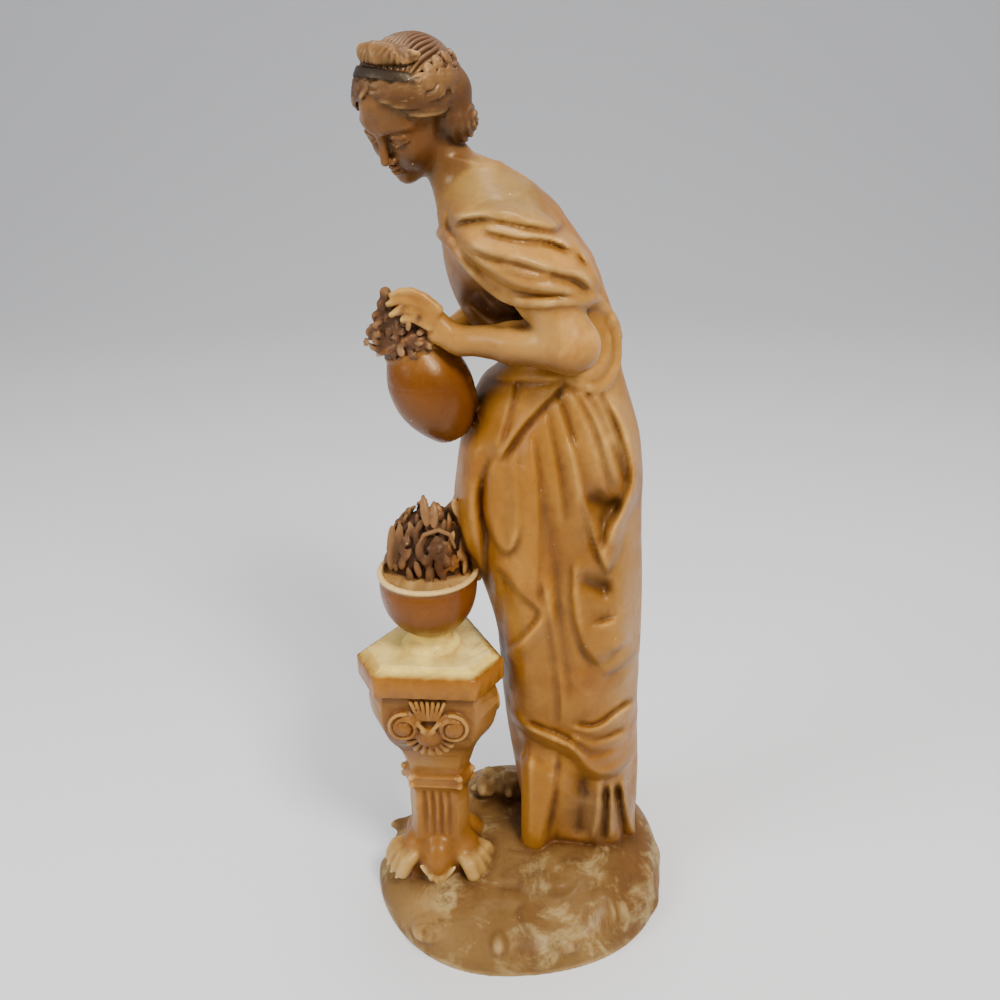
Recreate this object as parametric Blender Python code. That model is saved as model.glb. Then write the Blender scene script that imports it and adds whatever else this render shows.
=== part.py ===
"""Cast figurine of a girl bending over a tripod stand, one solid with its mound plinth.

Metres, +Z up, origin under the middle of the plinth, resting on its flat underside.
The girl faces -X, her left side is turned to -Y, which is the side it is shown from.
"""
import math

import bpy
import numpy as np

# Overall sizes in metres
HEIGHT = 0.423            # floor to the top of the hair
PLINTH_WIDTH = 0.155      # left to right
PLINTH_DEPTH = 0.146      # front to back
PLINTH_HEIGHT = 0.030     # where the girl's feet stand
STAND_DROP = 0.009        # the paws stand that much lower, on the slope
STAND_HEIGHT = 0.1535     # floor to the top of the stand's slab
SLAB_THICKNESS = 0.0150
SLAB_REACH = 0.0275       # stand's axis to a long side of the slab
BOWL_RADIUS = 0.0232
BOWL_HEIGHT = 0.0350
BOWL_FOOT_HEIGHT = 0.0070
JUG_RADIUS = 0.0212
JUG_LENGTH = 0.0600

# Placing, in metres: the girl's middle plane and the stand's axis
GIRL_Y = 0.010
STAND_X, STAND_Y = -0.0418, -0.0087
STAND_TURN = -5.0         # degrees

# Fineness of the solid
PITCH = 1.6               # spacing of the sampling grid, mm
TRIANGLES = 9400

FULL = 423.0              # the figure's own stations are written for this height
MM = FULL / HEIGHT        # stations in a metre


def curve(rows, t):
    """Smooth curve through stations (t, values...)."""
    k = np.array([r[0] for r in rows], float)
    v = np.array([r[1:] for r in rows], float)
    m = np.gradient(v, k, axis=0)
    t = np.clip(np.ravel(t).astype(float), k[0], k[-1])
    i = np.clip(np.searchsorted(k, t, side="right") - 1, 0, len(k) - 2)
    h = (k[i + 1] - k[i])[:, None]
    s = (t - k[i])[:, None] / h
    out = ((2 * s**3 - 3 * s**2 + 1) * v[i] + (s**3 - 2 * s**2 + s) * h * m[i]
           + (3 * s**2 - 2 * s**3) * v[i + 1] + (s**3 - s**2) * h * m[i + 1])
    return [c.astype(np.float32) for c in out.T]


def ramp(v, lo, hi):
    s = np.clip((v - lo) / (hi - lo), 0.0, 1.0)
    return s * s * (3.0 - 2.0 * s)


class Clay:
    """Distance field on a grid: forms are added, merged softly and carved."""

    def __init__(self, lo, hi, pitch):
        self.lo = np.array(lo, float)
        self.pitch = pitch
        self.n = np.ceil((np.array(hi) - self.lo) / pitch).astype(int) + 1
        self.f = np.full(self.n, 30.0, np.float32)
        self.tag = np.zeros(self.n, np.uint8)

    def window(self, lo, hi, pad):
        a = np.clip(np.floor((np.array(lo) - pad - self.lo) / self.pitch).astype(int), 0, self.n - 1)
        b = np.clip(np.ceil((np.array(hi) + pad - self.lo) / self.pitch).astype(int) + 1, a + 1, self.n)
        s = tuple(slice(i, j) for i, j in zip(a, b))
        x, y, z = (np.arange(i, j, dtype=np.float32) * np.float32(self.pitch) + np.float32(c)
                   for i, j, c in zip(a, b, self.lo))
        return s, x[:, None, None], y[None, :, None], z[None, None, :]

    def add(self, form, soft=0.0, tag=0, cut=False):
        lo, hi, fn = form
        s, x, y, z = self.window(lo, hi, 4.0 + 2.0 * soft)
        g = np.asarray(fn(x, y, z), np.float32)
        f = self.f[s]
        if cut:
            if soft:
                h = np.maximum(soft - np.abs(f + g), 0.0) / soft
                self.f[s] = np.maximum(f, -g) + h * h * soft * 0.25
            else:
                self.f[s] = np.maximum(f, -g)
            return
        if tag:
            self.tag[s] = np.where(g < f, np.uint8(tag), self.tag[s])
        if soft:
            h = np.maximum(soft - np.abs(f - g), 0.0) / soft
            self.f[s] = np.minimum(f, g) - h * h * soft * 0.25
        else:
            self.f[s] = np.minimum(f, g)


def bead(a, b, ra, rb=None):
    """Rounded cone from a to b."""
    a, b = np.array(a, np.float32), np.array(b, np.float32)
    rb = ra if rb is None else rb
    r = max(ra, rb)
    d = b - a
    dd = float(d @ d) + 1e-9

    def fn(x, y, z):
        px, py, pz = x - a[0], y - a[1], z - a[2]
        h = np.clip((px * d[0] + py * d[1] + pz * d[2]) / dd, 0.0, 1.0)
        return np.sqrt((px - h * d[0])**2 + (py - h * d[1])**2 + (pz - h * d[2])**2) - (ra + (rb - ra) * h)
    return np.minimum(a, b) - r, np.maximum(a, b) + r, fn


def egg(c, radii, axes=None):
    """Ellipsoid, axes given as rows of a rotation."""
    c = np.array(c, np.float32)
    q = np.array(radii, np.float32)
    m = np.eye(3, dtype=np.float32) if axes is None else np.array(axes, np.float32)
    reach = np.sqrt(((m * q[:, None])**2).sum(0))

    def fn(x, y, z):
        px, py, pz = x - c[0], y - c[1], z - c[2]
        k0 = k1 = 0.0
        for i in range(3):
            e = px * m[i, 0] + py * m[i, 1] + pz * m[i, 2]
            k0 = k0 + (e / q[i])**2
            k1 = k1 + (e / (q[i] * q[i]))**2
        k0 = np.sqrt(k0)
        return k0 * (k0 - 1.0) / np.maximum(np.sqrt(k1), 1e-4)
    return c - reach, c + reach, fn


def turned(base, axis, profile):
    """Turned form: profile rows are (distance along the axis, radius)."""
    base = np.array(base, np.float32)
    axis = np.array(axis, np.float32)
    axis = axis / np.linalg.norm(axis)
    t = np.linspace(profile[0][0], profile[-1][0], 400, dtype=np.float32)
    r = curve(profile, t)[0]
    ends = np.array([base + axis * t[0], base + axis * t[-1]])

    def fn(x, y, z):
        px, py, pz = x - base[0], y - base[1], z - base[2]
        h = px * axis[0] + py * axis[1] + pz * axis[2]
        rr = np.sqrt(np.maximum(px * px + py * py + pz * pz - h * h, 0.0))
        rad = np.interp(h.ravel(), t, r).reshape(h.shape).astype(np.float32)
        slope = np.interp(h.ravel(), t, np.gradient(r, t)).reshape(h.shape).astype(np.float32)
        side = (rr - rad) / np.sqrt(1.0 + slope * slope)
        return np.maximum(side, np.maximum(t[0] - h, h - t[-1]))
    m = float(r.max())
    return ends.min(0) - m, ends.max(0) + m, fn


def pillar(rows, power=2.0, wave=None):
    """Upright form: rows are (z, middle x, middle y, half width x, half width y)."""
    z0, z1 = rows[0][0], rows[-1][0]
    lo = [min(r[1] - r[3] for r in rows) - 6, min(r[2] - r[4] for r in rows) - 6, z0]
    hi = [max(r[1] + r[3] for r in rows) + 6, max(r[2] + r[4] for r in rows) + 6, z1]

    def fn(x, y, z):
        cx, cy, a, b = curve(rows, z)
        dx, dy = x - cx, y - cy
        r = np.sqrt(dx * dx + dy * dy) + 1e-3
        rho = ((np.abs(dx) / a)**power + (np.abs(dy) / b)**power)**(1.0 / power) + 1e-3
        edge = r / rho
        if wave is not None:
            edge = edge + wave(np.arctan2(dy, dx), z, edge)
        d = r - edge
        return np.maximum(d, np.maximum(z0 - z, z - z1))
    return lo, hi, fn


def slab(centre, sides, z0, z1):
    """Prism: sides are (outward angle in degrees, distance), z from z0 to z1."""
    cx, cy = centre
    reach = max(s[1] for s in sides) * 1.6

    def fn(x, y, z):
        d = np.maximum(z0 - z, z - z1)
        for ang, dist in sides:
            a = math.radians(ang)
            d = np.maximum(d, (x - cx) * math.cos(a) + (y - cy) * math.sin(a) - dist)
        return d
    return [cx - reach, cy - reach, z0], [cx + reach, cy + reach, z1], fn


def tripod(centre, rows, turn):
    """Three-sided form: rows are (z, distance to a face, distance to a corner)."""
    cx, cy = centre
    reach = max(max(r[1], r[2]) for r in rows) * 1.5

    def fn(x, y, z):
        face, corner = curve(rows, z)
        px, py = x - cx, y - cy
        d = np.maximum(rows[0][0] - z, z - rows[-1][0])
        for i in range(3):
            a = math.radians(turn - 90 + 120 * i)
            u = px * math.cos(a) + py * math.sin(a)
            d = np.maximum(d, u - face)
            a += math.radians(60)
            u = px * math.cos(a) + py * math.sin(a)
            d = np.maximum(d, u - corner)
        return d
    return [cx - reach, cy - reach, rows[0][0]], [cx + reach, cy + reach, rows[-1][0]], fn


# The side that the girl is shown from: a pinhole in front of -Y, looking down a little.
# Carving is drawn on that side in a square of 1000 units.
EYE = np.array([-7.2, -430.0, 418.0])
LOOK_DOWN = math.radians(24.3)
LEAN = math.radians(1.03)
FOCUS = 1012.0


def seen(x, y, z):
    cp, sp = math.cos(LOOK_DOWN), math.sin(LOOK_DOWN)
    dx, dy, dz = x - EYE[0], y - EYE[1], z - EYE[2]
    deep = dy * cp - dz * sp
    a = FOCUS * dx / deep
    b = -FOCUS * (dy * sp + dz * cp) / deep
    c, s = math.cos(LEAN), math.sin(LEAN)
    return 500 + a * c + b * s, 500 - a * s + b * c


def along(path, u, v):
    """Distance to a drawn line, side of it and place along it (0 to 1)."""
    p = np.array(path, np.float32)
    seg = np.hypot(*(p[1:] - p[:-1]).T)
    run = np.concatenate([[0], np.cumsum(seg)]) / seg.sum()
    best = np.full(u.shape, 1e9, np.float32)
    side = np.zeros_like(best)
    place = np.zeros_like(best)
    off = np.zeros_like(best)
    for i in range(len(p) - 1):
        d = p[i + 1] - p[i]
        h = np.clip(((u - p[i, 0]) * d[0] + (v - p[i, 1]) * d[1]) / float(d @ d), 0, 1)
        eu, ev = u - p[i, 0] - h * d[0], v - p[i, 1] - h * d[1]
        r = np.hypot(eu, ev)
        cross = ((v - p[i, 1]) * d[0] - (u - p[i, 0]) * d[1]) / float(np.hypot(*d))
        near = (r < best - 1e-3) | ((r < best + 1e-3) & (np.abs(cross) > off))
        best = np.where(near, r, best)
        off = np.where(near, np.abs(cross), off)
        side = np.where(near, np.sign(cross), side)
        place = np.where(near, run[i] + h * (run[i + 1] - run[i]), place)
    return best, side, place


def smooth_path(path, steps=5):
    k = np.arange(len(path))
    rows = [(i, *p) for i, p in enumerate(path)]
    t = np.linspace(0, k[-1], (len(path) - 1) * steps + 1)
    return np.stack(curve(rows, t), 1)


def carve(clay, strokes, reach=6.0):
    """Push the surface out or in along drawn strokes, on the shown side."""
    ix = np.nonzero(np.abs(clay.f) < reach)
    x, y, z = (i * clay.pitch + c for i, c in zip(ix, clay.lo))
    u, v = (a.astype(np.float32) for a in seen(x, y, z))
    front = ramp(GIRL_Y * MM - y, -8.0, 6.0)
    tag = clay.tag[ix]
    out = np.zeros(u.shape, np.float32)
    for tags, kind, deep, wide, path in strokes:
        pts = smooth_path(path)
        m = (8.0 if kind == "drop" else 3.0) * wide
        sel = np.nonzero((u > pts[:, 0].min() - m) & (u < pts[:, 0].max() + m)
                         & (v > pts[:, 1].min() - m) & (v < pts[:, 1].max() + m)
                         & np.isin(tag, tags))[0]
        if not len(sel):
            continue
        r, side, place = along(pts, u[sel], v[sel])
        sd = r * side
        if kind == "fold":
            push = np.exp(-(r / wide)**2)
            push = push * ramp(place, -0.02, 0.18) * ramp(1 - place, -0.02, 0.18)
        elif kind == "lap":      # the right-hand side of the path lies over the other
            push = ramp(sd, -0.4 * wide, 0.4 * wide) * np.exp(-(np.maximum(sd, 0) / (2.6 * wide))**2)
            push = push - 0.5 * np.exp(-((sd + 0.5 * wide) / (0.5 * wide))**2)
            push = push * ramp(place, -0.02, 0.18) * ramp(1 - place, -0.02, 0.18)
        else:                    # everything beyond the path sits lower
            push = ramp(sd, -0.5 * wide, 0.5 * wide) * ramp(m - sd, 0, 0.5 * m)
        out[sel] += (deep * push * front[sel]).astype(np.float32)
    clay.f[ix] -= out


GIRL, SKIN, HAIR, BAND, SHAWL, STAND, BOWL, BLOOM, JUG, MOUND = range(1, 11)

# Head: its middle, its axes (forward, left, up) and its size against a 56 mm head
HEAD_AT = np.array([-41.4, 1.0, 396.0])
HEAD_SIZE = 0.92
HEAD_YAW, HEAD_NOD, HEAD_TIP = 50.0, 35.0, 6.0


def head_axes():
    yaw, nod, tip = (math.radians(k) for k in (HEAD_YAW, HEAD_NOD, HEAD_TIP))
    f = np.array([-math.cos(nod) * math.cos(yaw), -math.cos(nod) * math.sin(yaw), -math.sin(nod)])
    l = np.array([math.sin(yaw), -math.cos(yaw), 0.0])
    up = np.cross(f, l)
    l = l * math.cos(tip) - up * math.sin(tip)
    return np.array([f, l, np.cross(f, l)])


def at_head(p):
    return HEAD_AT + HEAD_SIZE * np.array(p, float) @ head_axes()


def head_egg(p, radii):
    return egg(at_head(p), np.array(radii) * HEAD_SIZE, head_axes())


def head_bead(a, b, ra, rb):
    return bead(at_head(a), at_head(b), ra * HEAD_SIZE, rb * HEAD_SIZE)


def head(clay):
    skin = dict(soft=4.0, tag=SKIN)
    clay.add(head_egg((-3, 0, 7), (23.2, 18.0, 19.8)), tag=SKIN)
    clay.add(head_egg((5.0, 0, -8), (14.0, 14.2, 19.5)), **skin)
    clay.add(head_egg((7.5, 0, -14), (11.0, 11.0, 12.0)), **skin)
    clay.add(head_egg((14.6, 0, -22.4), (4.6, 4.8, 4.6)), **skin)
    for s in (-1, 1):
        clay.add(head_egg((12.0, 7.4 * s, -7.5), (6.2, 5.6, 6.6)), **skin)
        clay.add(head_egg((21.6, 7.2 * s, 0.4), (4.6, 4.8, 3.6)), soft=2.5, cut=True)
        clay.add(head_egg((14.6, 7.2 * s, -0.4), (4.6, 4.8, 3.8)), soft=0.6, tag=SKIN)
        clay.add(head_bead((19.4, 3.2 * s, 5.0), (15.4, 11 * s, 4.8), 1.2, 0.9), soft=4, tag=SKIN)
    clay.add(head_bead((19.0, 0, 2.5), (23.2, 0, -9.0), 1.8, 2.3), soft=2.5, tag=SKIN)
    for s in (-1, 1):
        clay.add(head_egg((20.4, 2.6 * s, -9.8), (2.3, 1.8, 1.7)), soft=1.2, tag=SKIN)
        clay.add(head_bead((20.0, 0.8 * s, -14.0), (17.4, 4.8 * s, -15.2), 1.3, 0.7), soft=0.8, tag=SKIN)
        clay.add(head_bead((19.6, 0.6 * s, -16.8), (17.2, 4.0 * s, -16.0), 1.6, 0.8), soft=0.8, tag=SKIN)


def hair(clay):
    ax = head_axes()
    k = HEAD_SIZE
    lo, hi, shell = head_egg((-4.5, 0, 7.0), (24.8, 20.6, 21.0))
    line = ([-24, -14, -6, 2, 9, 14.5, 18, 20.5], [-14, -8, -4.5, 0.5, 6, 12.5, 20, 40])

    def cap(x, y, z):
        p = [((x - HEAD_AT[0]) * ax[i, 0] + (y - HEAD_AT[1]) * ax[i, 1] + (z - HEAD_AT[2]) * ax[i, 2]) / k
             for i in range(3)]
        brow = np.interp(p[2].ravel(), *line).reshape(p[2].shape).astype(np.float32)
        d = np.maximum(shell(x, y, z), (p[0] - brow) * 0.8 * k)
        return np.maximum(d, (-17.0 - p[2]) * k)
    clay.add((lo, hi, cap), soft=1.0, tag=HAIR)
    # roll of hair over the brow, coil on the crown, full back hair and knot at the nape, locks over the ears
    for i in range(8):
        t = i / 7.0
        p = (-53.0 + 16 * t, -12 + 18 * t - 6 * math.sin(math.pi * t), 409.5 + 3.6 * math.sin(math.pi * (0.15 + 0.7 * t)))
        clay.add(egg(p, (4.4, 5.2, 5.4)), soft=2.5, tag=HAIR)
    clay.add(egg((-35.0, 6, 412.8), (12.5, 12.0, 9.0)), soft=2.5, tag=HAIR)
    clay.add(egg((-27, 5, 402), (12.0, 14.0, 12.5)), soft=4, tag=HAIR)
    clay.add(egg((-23, 3, 392), (9.0, 10.0, 9.0)), soft=3, tag=HAIR)
    for s in (-1, 1):
        clay.add(head_bead((9, 14.5 * s, 11), (-5, 19.0 * s, 2), 2.8, 4.2), soft=2, tag=HAIR)
        clay.add(head_bead((-5, 19.0 * s, 1), (-17, 13 * s, -9), 4.4, 5.0), soft=2, tag=HAIR)


def girl(clay):
    g = GIRL_Y * MM
    p0 = PLINTH_HEIGHT * MM
    # z, middle x, middle y, half width x, half width y
    rows = [(p0 - 8, 34, g + 3, 30, 29), (60, 32, g + 2, 33, 33), (103, 28, g + 1, 34.4, 36.5),
            (130, 27, g, 35, 38.5), (152, 26.2, g, 36, 40), (186, 21.5, g, 40, 42.5), (206, 17.2, g, 43.2, 43.5),
            (219, 15.6, g, 44.4, 43.5), (240, 16, g, 43, 42.5), (255, 16.6, g, 41, 40.5), (268, 17, g, 37, 37.5),
            (279, 17.5, g, 33, 34), (286, 20.5, g, 28, 32), (294, 21, g, 26.5, 30), (305, 14.5, g, 31.4, 29), (319, 7.9, g, 33, 32),
            (332, 3.5, g, 32.4, 37), (345, -1, g, 29.0, 41), (355, -4.5, g, 25, 38), (362, -7, g, 21, 31),
            (368, -9.5, g, 16, 22), (374, -13, g, 9, 12)]

    def wave(t, z, edge):
        # plain upright folds round the back of the skirt
        back = ramp(np.sin(t), -0.05, 0.45) * ramp(z, 30, 60) * ramp(300 - z, 0, 60)
        return back * (1.7 * np.sin(11 * t + 0.012 * z) + 0.9 * np.sin(19 * t - 0.02 * z))
    clay.add(pillar(rows, 2.15, wave), tag=GIRL)
    clay.add(egg((27, -27, p0 + 14), (8, 14, 36)), soft=6, cut=True)
    clay.add(bead((9, -13, p0 - 2), (6, -17, 88), 7.5, 8), soft=5, tag=GIRL)
    # neck
    clay.add(bead((-11, g, 353), (-30, g - 3, 381), 13.5, 9.8), soft=11, tag=SKIN)
    # shoulders and upper arms, wrapped in the shawl
    tilt = math.radians(26)
    lie = [(math.cos(tilt), 0, -math.sin(tilt)), (0, 1, 0), (math.sin(tilt), 0, math.cos(tilt))]
    for s, el in ((-1, (22.5, -34, 308)), (1, (25, 56, 305))):
        sh = (0.0, g + s * 36, 348)
        clay.add(bead((-8, g + s * 16, 355), sh, 13, 12.0), soft=10, tag=SKIN)
        clay.add(egg((5, g + s * 29, 339.5), (31, 24.5, 15), lie), soft=7, tag=SHAWL)
        clay.add(bead(sh, el, 12.0, 11.3), soft=6, tag=SKIN)
    # forearms
    clay.add(bead((22.5, -34, 308), (-1, -28, 308), 11.3, 8.6), soft=3, tag=SKIN)
    clay.add(bead((-1, -28, 308), (-24, -17, 306.5), 8.4, 5.4), soft=3, tag=SKIN)
    clay.add(bead((25, 56, 305), (4, 46, 304), 11.0, 8.6), soft=3, tag=SKIN)
    clay.add(bead((4, 46, 304), (-20, 24, 305), 8.4, 5.6), soft=3, tag=SKIN)
    # hands
    clay.add(bead((-24, -17, 306.5), (-33, -14, 317), 5.6, 6.6), soft=3, tag=SKIN)
    clay.add(bead((-20, 24, 305), (-31, 16, 299), 5.6, 6.2), soft=3, tag=SKIN)
    for i in range(4):
        k = i / 3.0
        base = (-33 + 2.5 * k, -16 + 0.5 * i, 322.5 - 3.0 * i)
        mid = (-42 + 3.5 * k, -16 + 0.5 * i, 326 - 3.6 * i)
        tip = (-49 + 8.5 * k, -14 + 0.5 * i, 323.5 - 3.9 * i)
        clay.add(bead(base, mid, 2.9, 2.5), soft=1.4, tag=SKIN)
        clay.add(bead(mid, tip, 2.4, 2.0), soft=0.8, tag=SKIN)
        clay.add(bead((-31, 17, 304 - 4.2 * i), (-42, 15.5, 300 - 4.6 * i), 2.7, 2.2), soft=1.0, tag=SKIN)
    # rolled lower edge of the shawl, from the breast under the arm to the back, and its loop at the elbow
    roll = [(-28, -4, 357), (-25, -17, 346), (-15, -28, 336), (-1, -37, 329.5), (14, -42, 326), (26, -41, 321.5), (35, -33, 316)]
    for a, b in zip(roll, roll[1:]):
        clay.add(bead(a, b, 2.8, 2.8), soft=6, tag=SHAWL)
    loop = [(38, -27, 314), (38.5, -27, 305), (37, -29, 297), (32, -31, 292.5), (26, -31, 294)]
    for a, b in zip(loop, loop[1:]):
        clay.add(bead(a, b, 3.4, 3.4), soft=6, tag=SHAWL)
    # right foot, ahead and on the far side
    clay.add(egg((-4, 27, p0 + 5), (19, 8.5, 8)), soft=3, tag=SKIN)
    for i in range(5):
        clay.add(bead((-12, 20.5 + 3.1 * i, p0 + 4.5), (-22 + 1.1 * i, 20.0 + 3.2 * i, p0 + 2.5), 2.5, 2.1),
                 soft=1.0, tag=SKIN)


def vessels(clay):
    cx, cy = STAND_X * MM, STAND_Y * MM
    top, r, h, foot = STAND_HEIGHT * MM, BOWL_RADIUS * MM, BOWL_HEIGHT * MM, BOWL_FOOT_HEIGHT * MM
    clay.add(turned((cx, cy, top - 1), (0, 0, 1),
                    [(0, r * 0.62), (1.8, r * 0.60), (3.2, r * 0.50), (foot, r * 0.44), (foot + 5, r * 0.40)]), tag=STAND)
    bowl = [(h * k, r * q) for k, q in ((0, 0.30), (0.03, 0.46), (0.09, 0.62), (0.18, 0.77), (0.30, 0.885), (0.45, 0.955),
                                        (0.62, 0.985), (0.8, 0.995), (0.95, 1.0), (0.985, 1.025), (1.03, 1.02))]
    clay.add(turned((cx, cy, top + foot - 1), (0, 0, 1), bowl), soft=0.8, tag=BOWL)
    rim = top + foot + h
    clay.add(turned((cx, cy, rim - 3.4), (0, 0, 1), [(0, r * 0.87), (6, r * 0.90)]), cut=True)
    # flowers heaped in the bowl and leaning to the skirt
    clay.add(egg((cx, cy + 10, rim + 8), (r * 0.76, r * 0.60, 28)), soft=1.5, tag=BLOOM)
    clay.add(egg((cx + 16, cy + 12, rim + 11), (12.5, 12, 20)), soft=3, tag=BLOOM)
    for i in range(26):
        t, k = 2.4 * i, (i + 0.5) / 26
        w = math.sqrt(1 - (1 - k)**2)
        p = np.array([cx + r * 0.74 * w * math.cos(t), cy + 10 + r * 0.58 * w * math.sin(t), rim + 8 + 26 * (1 - k)])
        clay.add(egg(p, (4.6, 4.0, 3.6)), soft=0.8, tag=BLOOM)
    # jug held at a slant, mouth to the left
    r, n = JUG_RADIUS * MM, JUG_LENGTH * MM
    ax = np.array([-0.70, -0.06, 0.71])
    mid = np.array([-35.4, -4.0, 283.8])
    prof = [(-0.52, 0.30), (-0.49, 0.30), (-0.46, 0.27), (-0.42, 0.38), (-0.36, 0.54), (-0.26, 0.74), (-0.12, 0.92),
            (0.02, 1.02), (0.13, 1.02), (0.23, 0.91), (0.31, 0.74), (0.36, 0.64), (0.40, 0.62), (0.44, 0.68)]
    clay.add(turned(mid, ax, [(t * n, q * r) for t, q in prof]), soft=0.8, tag=JUG)
    clay.add(egg(mid + ax * 0.46 * n + np.array([2, 0, 5]), (10, 12, 13)), soft=1.0, tag=BLOOM)


def stand(clay):
    cx, cy, turn = STAND_X * MM, STAND_Y * MM, STAND_TURN
    top, t, a = STAND_HEIGHT * MM, SLAB_THICKNESS * MM, SLAB_REACH * MM
    p0, low = PLINTH_HEIGHT * MM, (PLINTH_HEIGHT - STAND_DROP) * MM
    b = a * 1.26
    for inset, z0, z1 in ((0.0, top - t + 0.5, top - 3.0), (1.2, top - t, top - 2.0), (5.0, top - 4, top)):
        sides = [(turn - 90 + 120 * i, a - inset) for i in range(3)] + [(turn - 30 + 120 * i, b - inset) for i in range(3)]
        clay.add(slab((cx, cy), sides, z0, z1), tag=STAND)
    sc = (top - p0 - t) / 108.5

    def zz(k):
        return p0 + (k - 30) * sc
    rows = [(low - 6, 14.5, 18.0), (zz(33), 12.6, 15.8), (zz(44), 11.4, 15.0), (zz(58), 11.2, 14.9), (zz(71), 11.8, 15.6),
            (zz(74), 13.8, 18.2), (zz(85), 14.0, 18.4), (zz(88), 13.4, 18.0), (zz(96), 15.6, 20.4), (zz(106), 19.4, 25.0),
            (zz(116), 22.8, 29.2), (zz(128), 24.0, 31.0), (zz(139), 23.4, 30.0)]
    clay.add(tripod((cx + 0.6, cy), rows, turn), soft=1.0, tag=STAND)
    for i in range(3):
        w = math.radians(turn - 90 + 120 * i)
        n = np.array([math.cos(w), math.sin(w), 0])
        side = np.array([-math.sin(w), math.cos(w), 0])
        mid = np.array([cx + 0.6, cy, 0]) + n * 22.4
        for s in (-1, 1):
            e = mid + side * 11.8 * s + np.array([0, 0, zz(121)])
            clay.add(turned(e - n * 4, n, [(0, 7.6), (5.0, 7.6), (6.4, 6.4)]), soft=0.8, tag=STAND)
            clay.add(turned(e - n, n, [(0, 3.6), (5.0, 3.6), (5.4, 2.8)]), soft=0.4, tag=STAND)
        # shell between and under the scrolls, tongue over the foot of each face
        for k in range(-3, 4):
            q = math.radians(22 * k)
            e = mid + np.array([0, 0, zz(110)])
            tip = e + side * 8.8 * math.sin(q) - np.array([0, 0, 11.5 * math.cos(q)]) - n * 4.0 * math.cos(q)
            clay.add(bead(e - n * 1.5, tip, 1.0, 2.2), soft=0.5, tag=STAND)
        clay.add(egg(np.array([cx + 0.6, cy, low + 7]) + n * 13.0, (9.4, 9.4, 13)), soft=4.0, tag=STAND)
        # paw at each corner
        w += math.radians(60)
        n = np.array([math.cos(w), math.sin(w), 0])
        side = np.array([-math.sin(w), math.cos(w), 0])
        root = np.array([cx + 0.6, cy, low + 3.4]) + n * 15.0
        clay.add(egg(root + np.array([0, 0, 3.0]), (8.2, 8.2, 10.0)), soft=3, tag=STAND)
        for k in (-1.4, -0.5, 0.5, 1.4):
            end = root + n * (11.5 - abs(k)) + side * 5.2 * k
            clay.add(bead(root + n * 5 + side * 4.6 * k + np.array([0, 0, 1.0]), end, 3.4, 3.4), soft=1.2, tag=STAND)


def mound(clay):
    a, b, h = PLINTH_WIDTH * MM / 2, PLINTH_DEPTH * MM / 2, PLINTH_HEIGHT * MM

    def fn(x, y, z):
        t = np.arctan2(y, x)
        lobe = 1.0 + 0.010 * np.sin(3 * t + 0.6) + 0.008 * np.sin(5 * t - 1.0)
        lobe = lobe - 0.13 * np.exp(-((np.abs(t - 2.45)) / 0.55)**2) + 0.03 * np.exp(-((t - 0.75) / 0.4)**2)
        rho = ((np.abs(x) / a)**2.15 + (np.abs(y) / b)**2.15)**(1 / 2.15) / lobe
        roll = 0.7 * np.sin(x * 0.11 + 1) * np.sin(y * 0.09) + 0.5 * np.sin(x * 0.17 - y * 0.13)
        top = h + 1.0 + roll - (STAND_DROP * MM + 1) * ramp(-0.55 * x - 0.85 * y, 12, 42)
        d = (rho**3.4 + (np.maximum(z, 0) / top)**2.2 - 1.0) * 20.0
        gx, gy, gz = np.gradient(d, clay.pitch)
        d = d / np.maximum(np.sqrt(gx * gx + gy * gy + gz * gz), 0.5)
        return np.maximum(d, -z)
    clay.add(([-a - 3, -b - 3, 0], [a + 3, b + 3, h + 3], fn), tag=MOUND)


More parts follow.
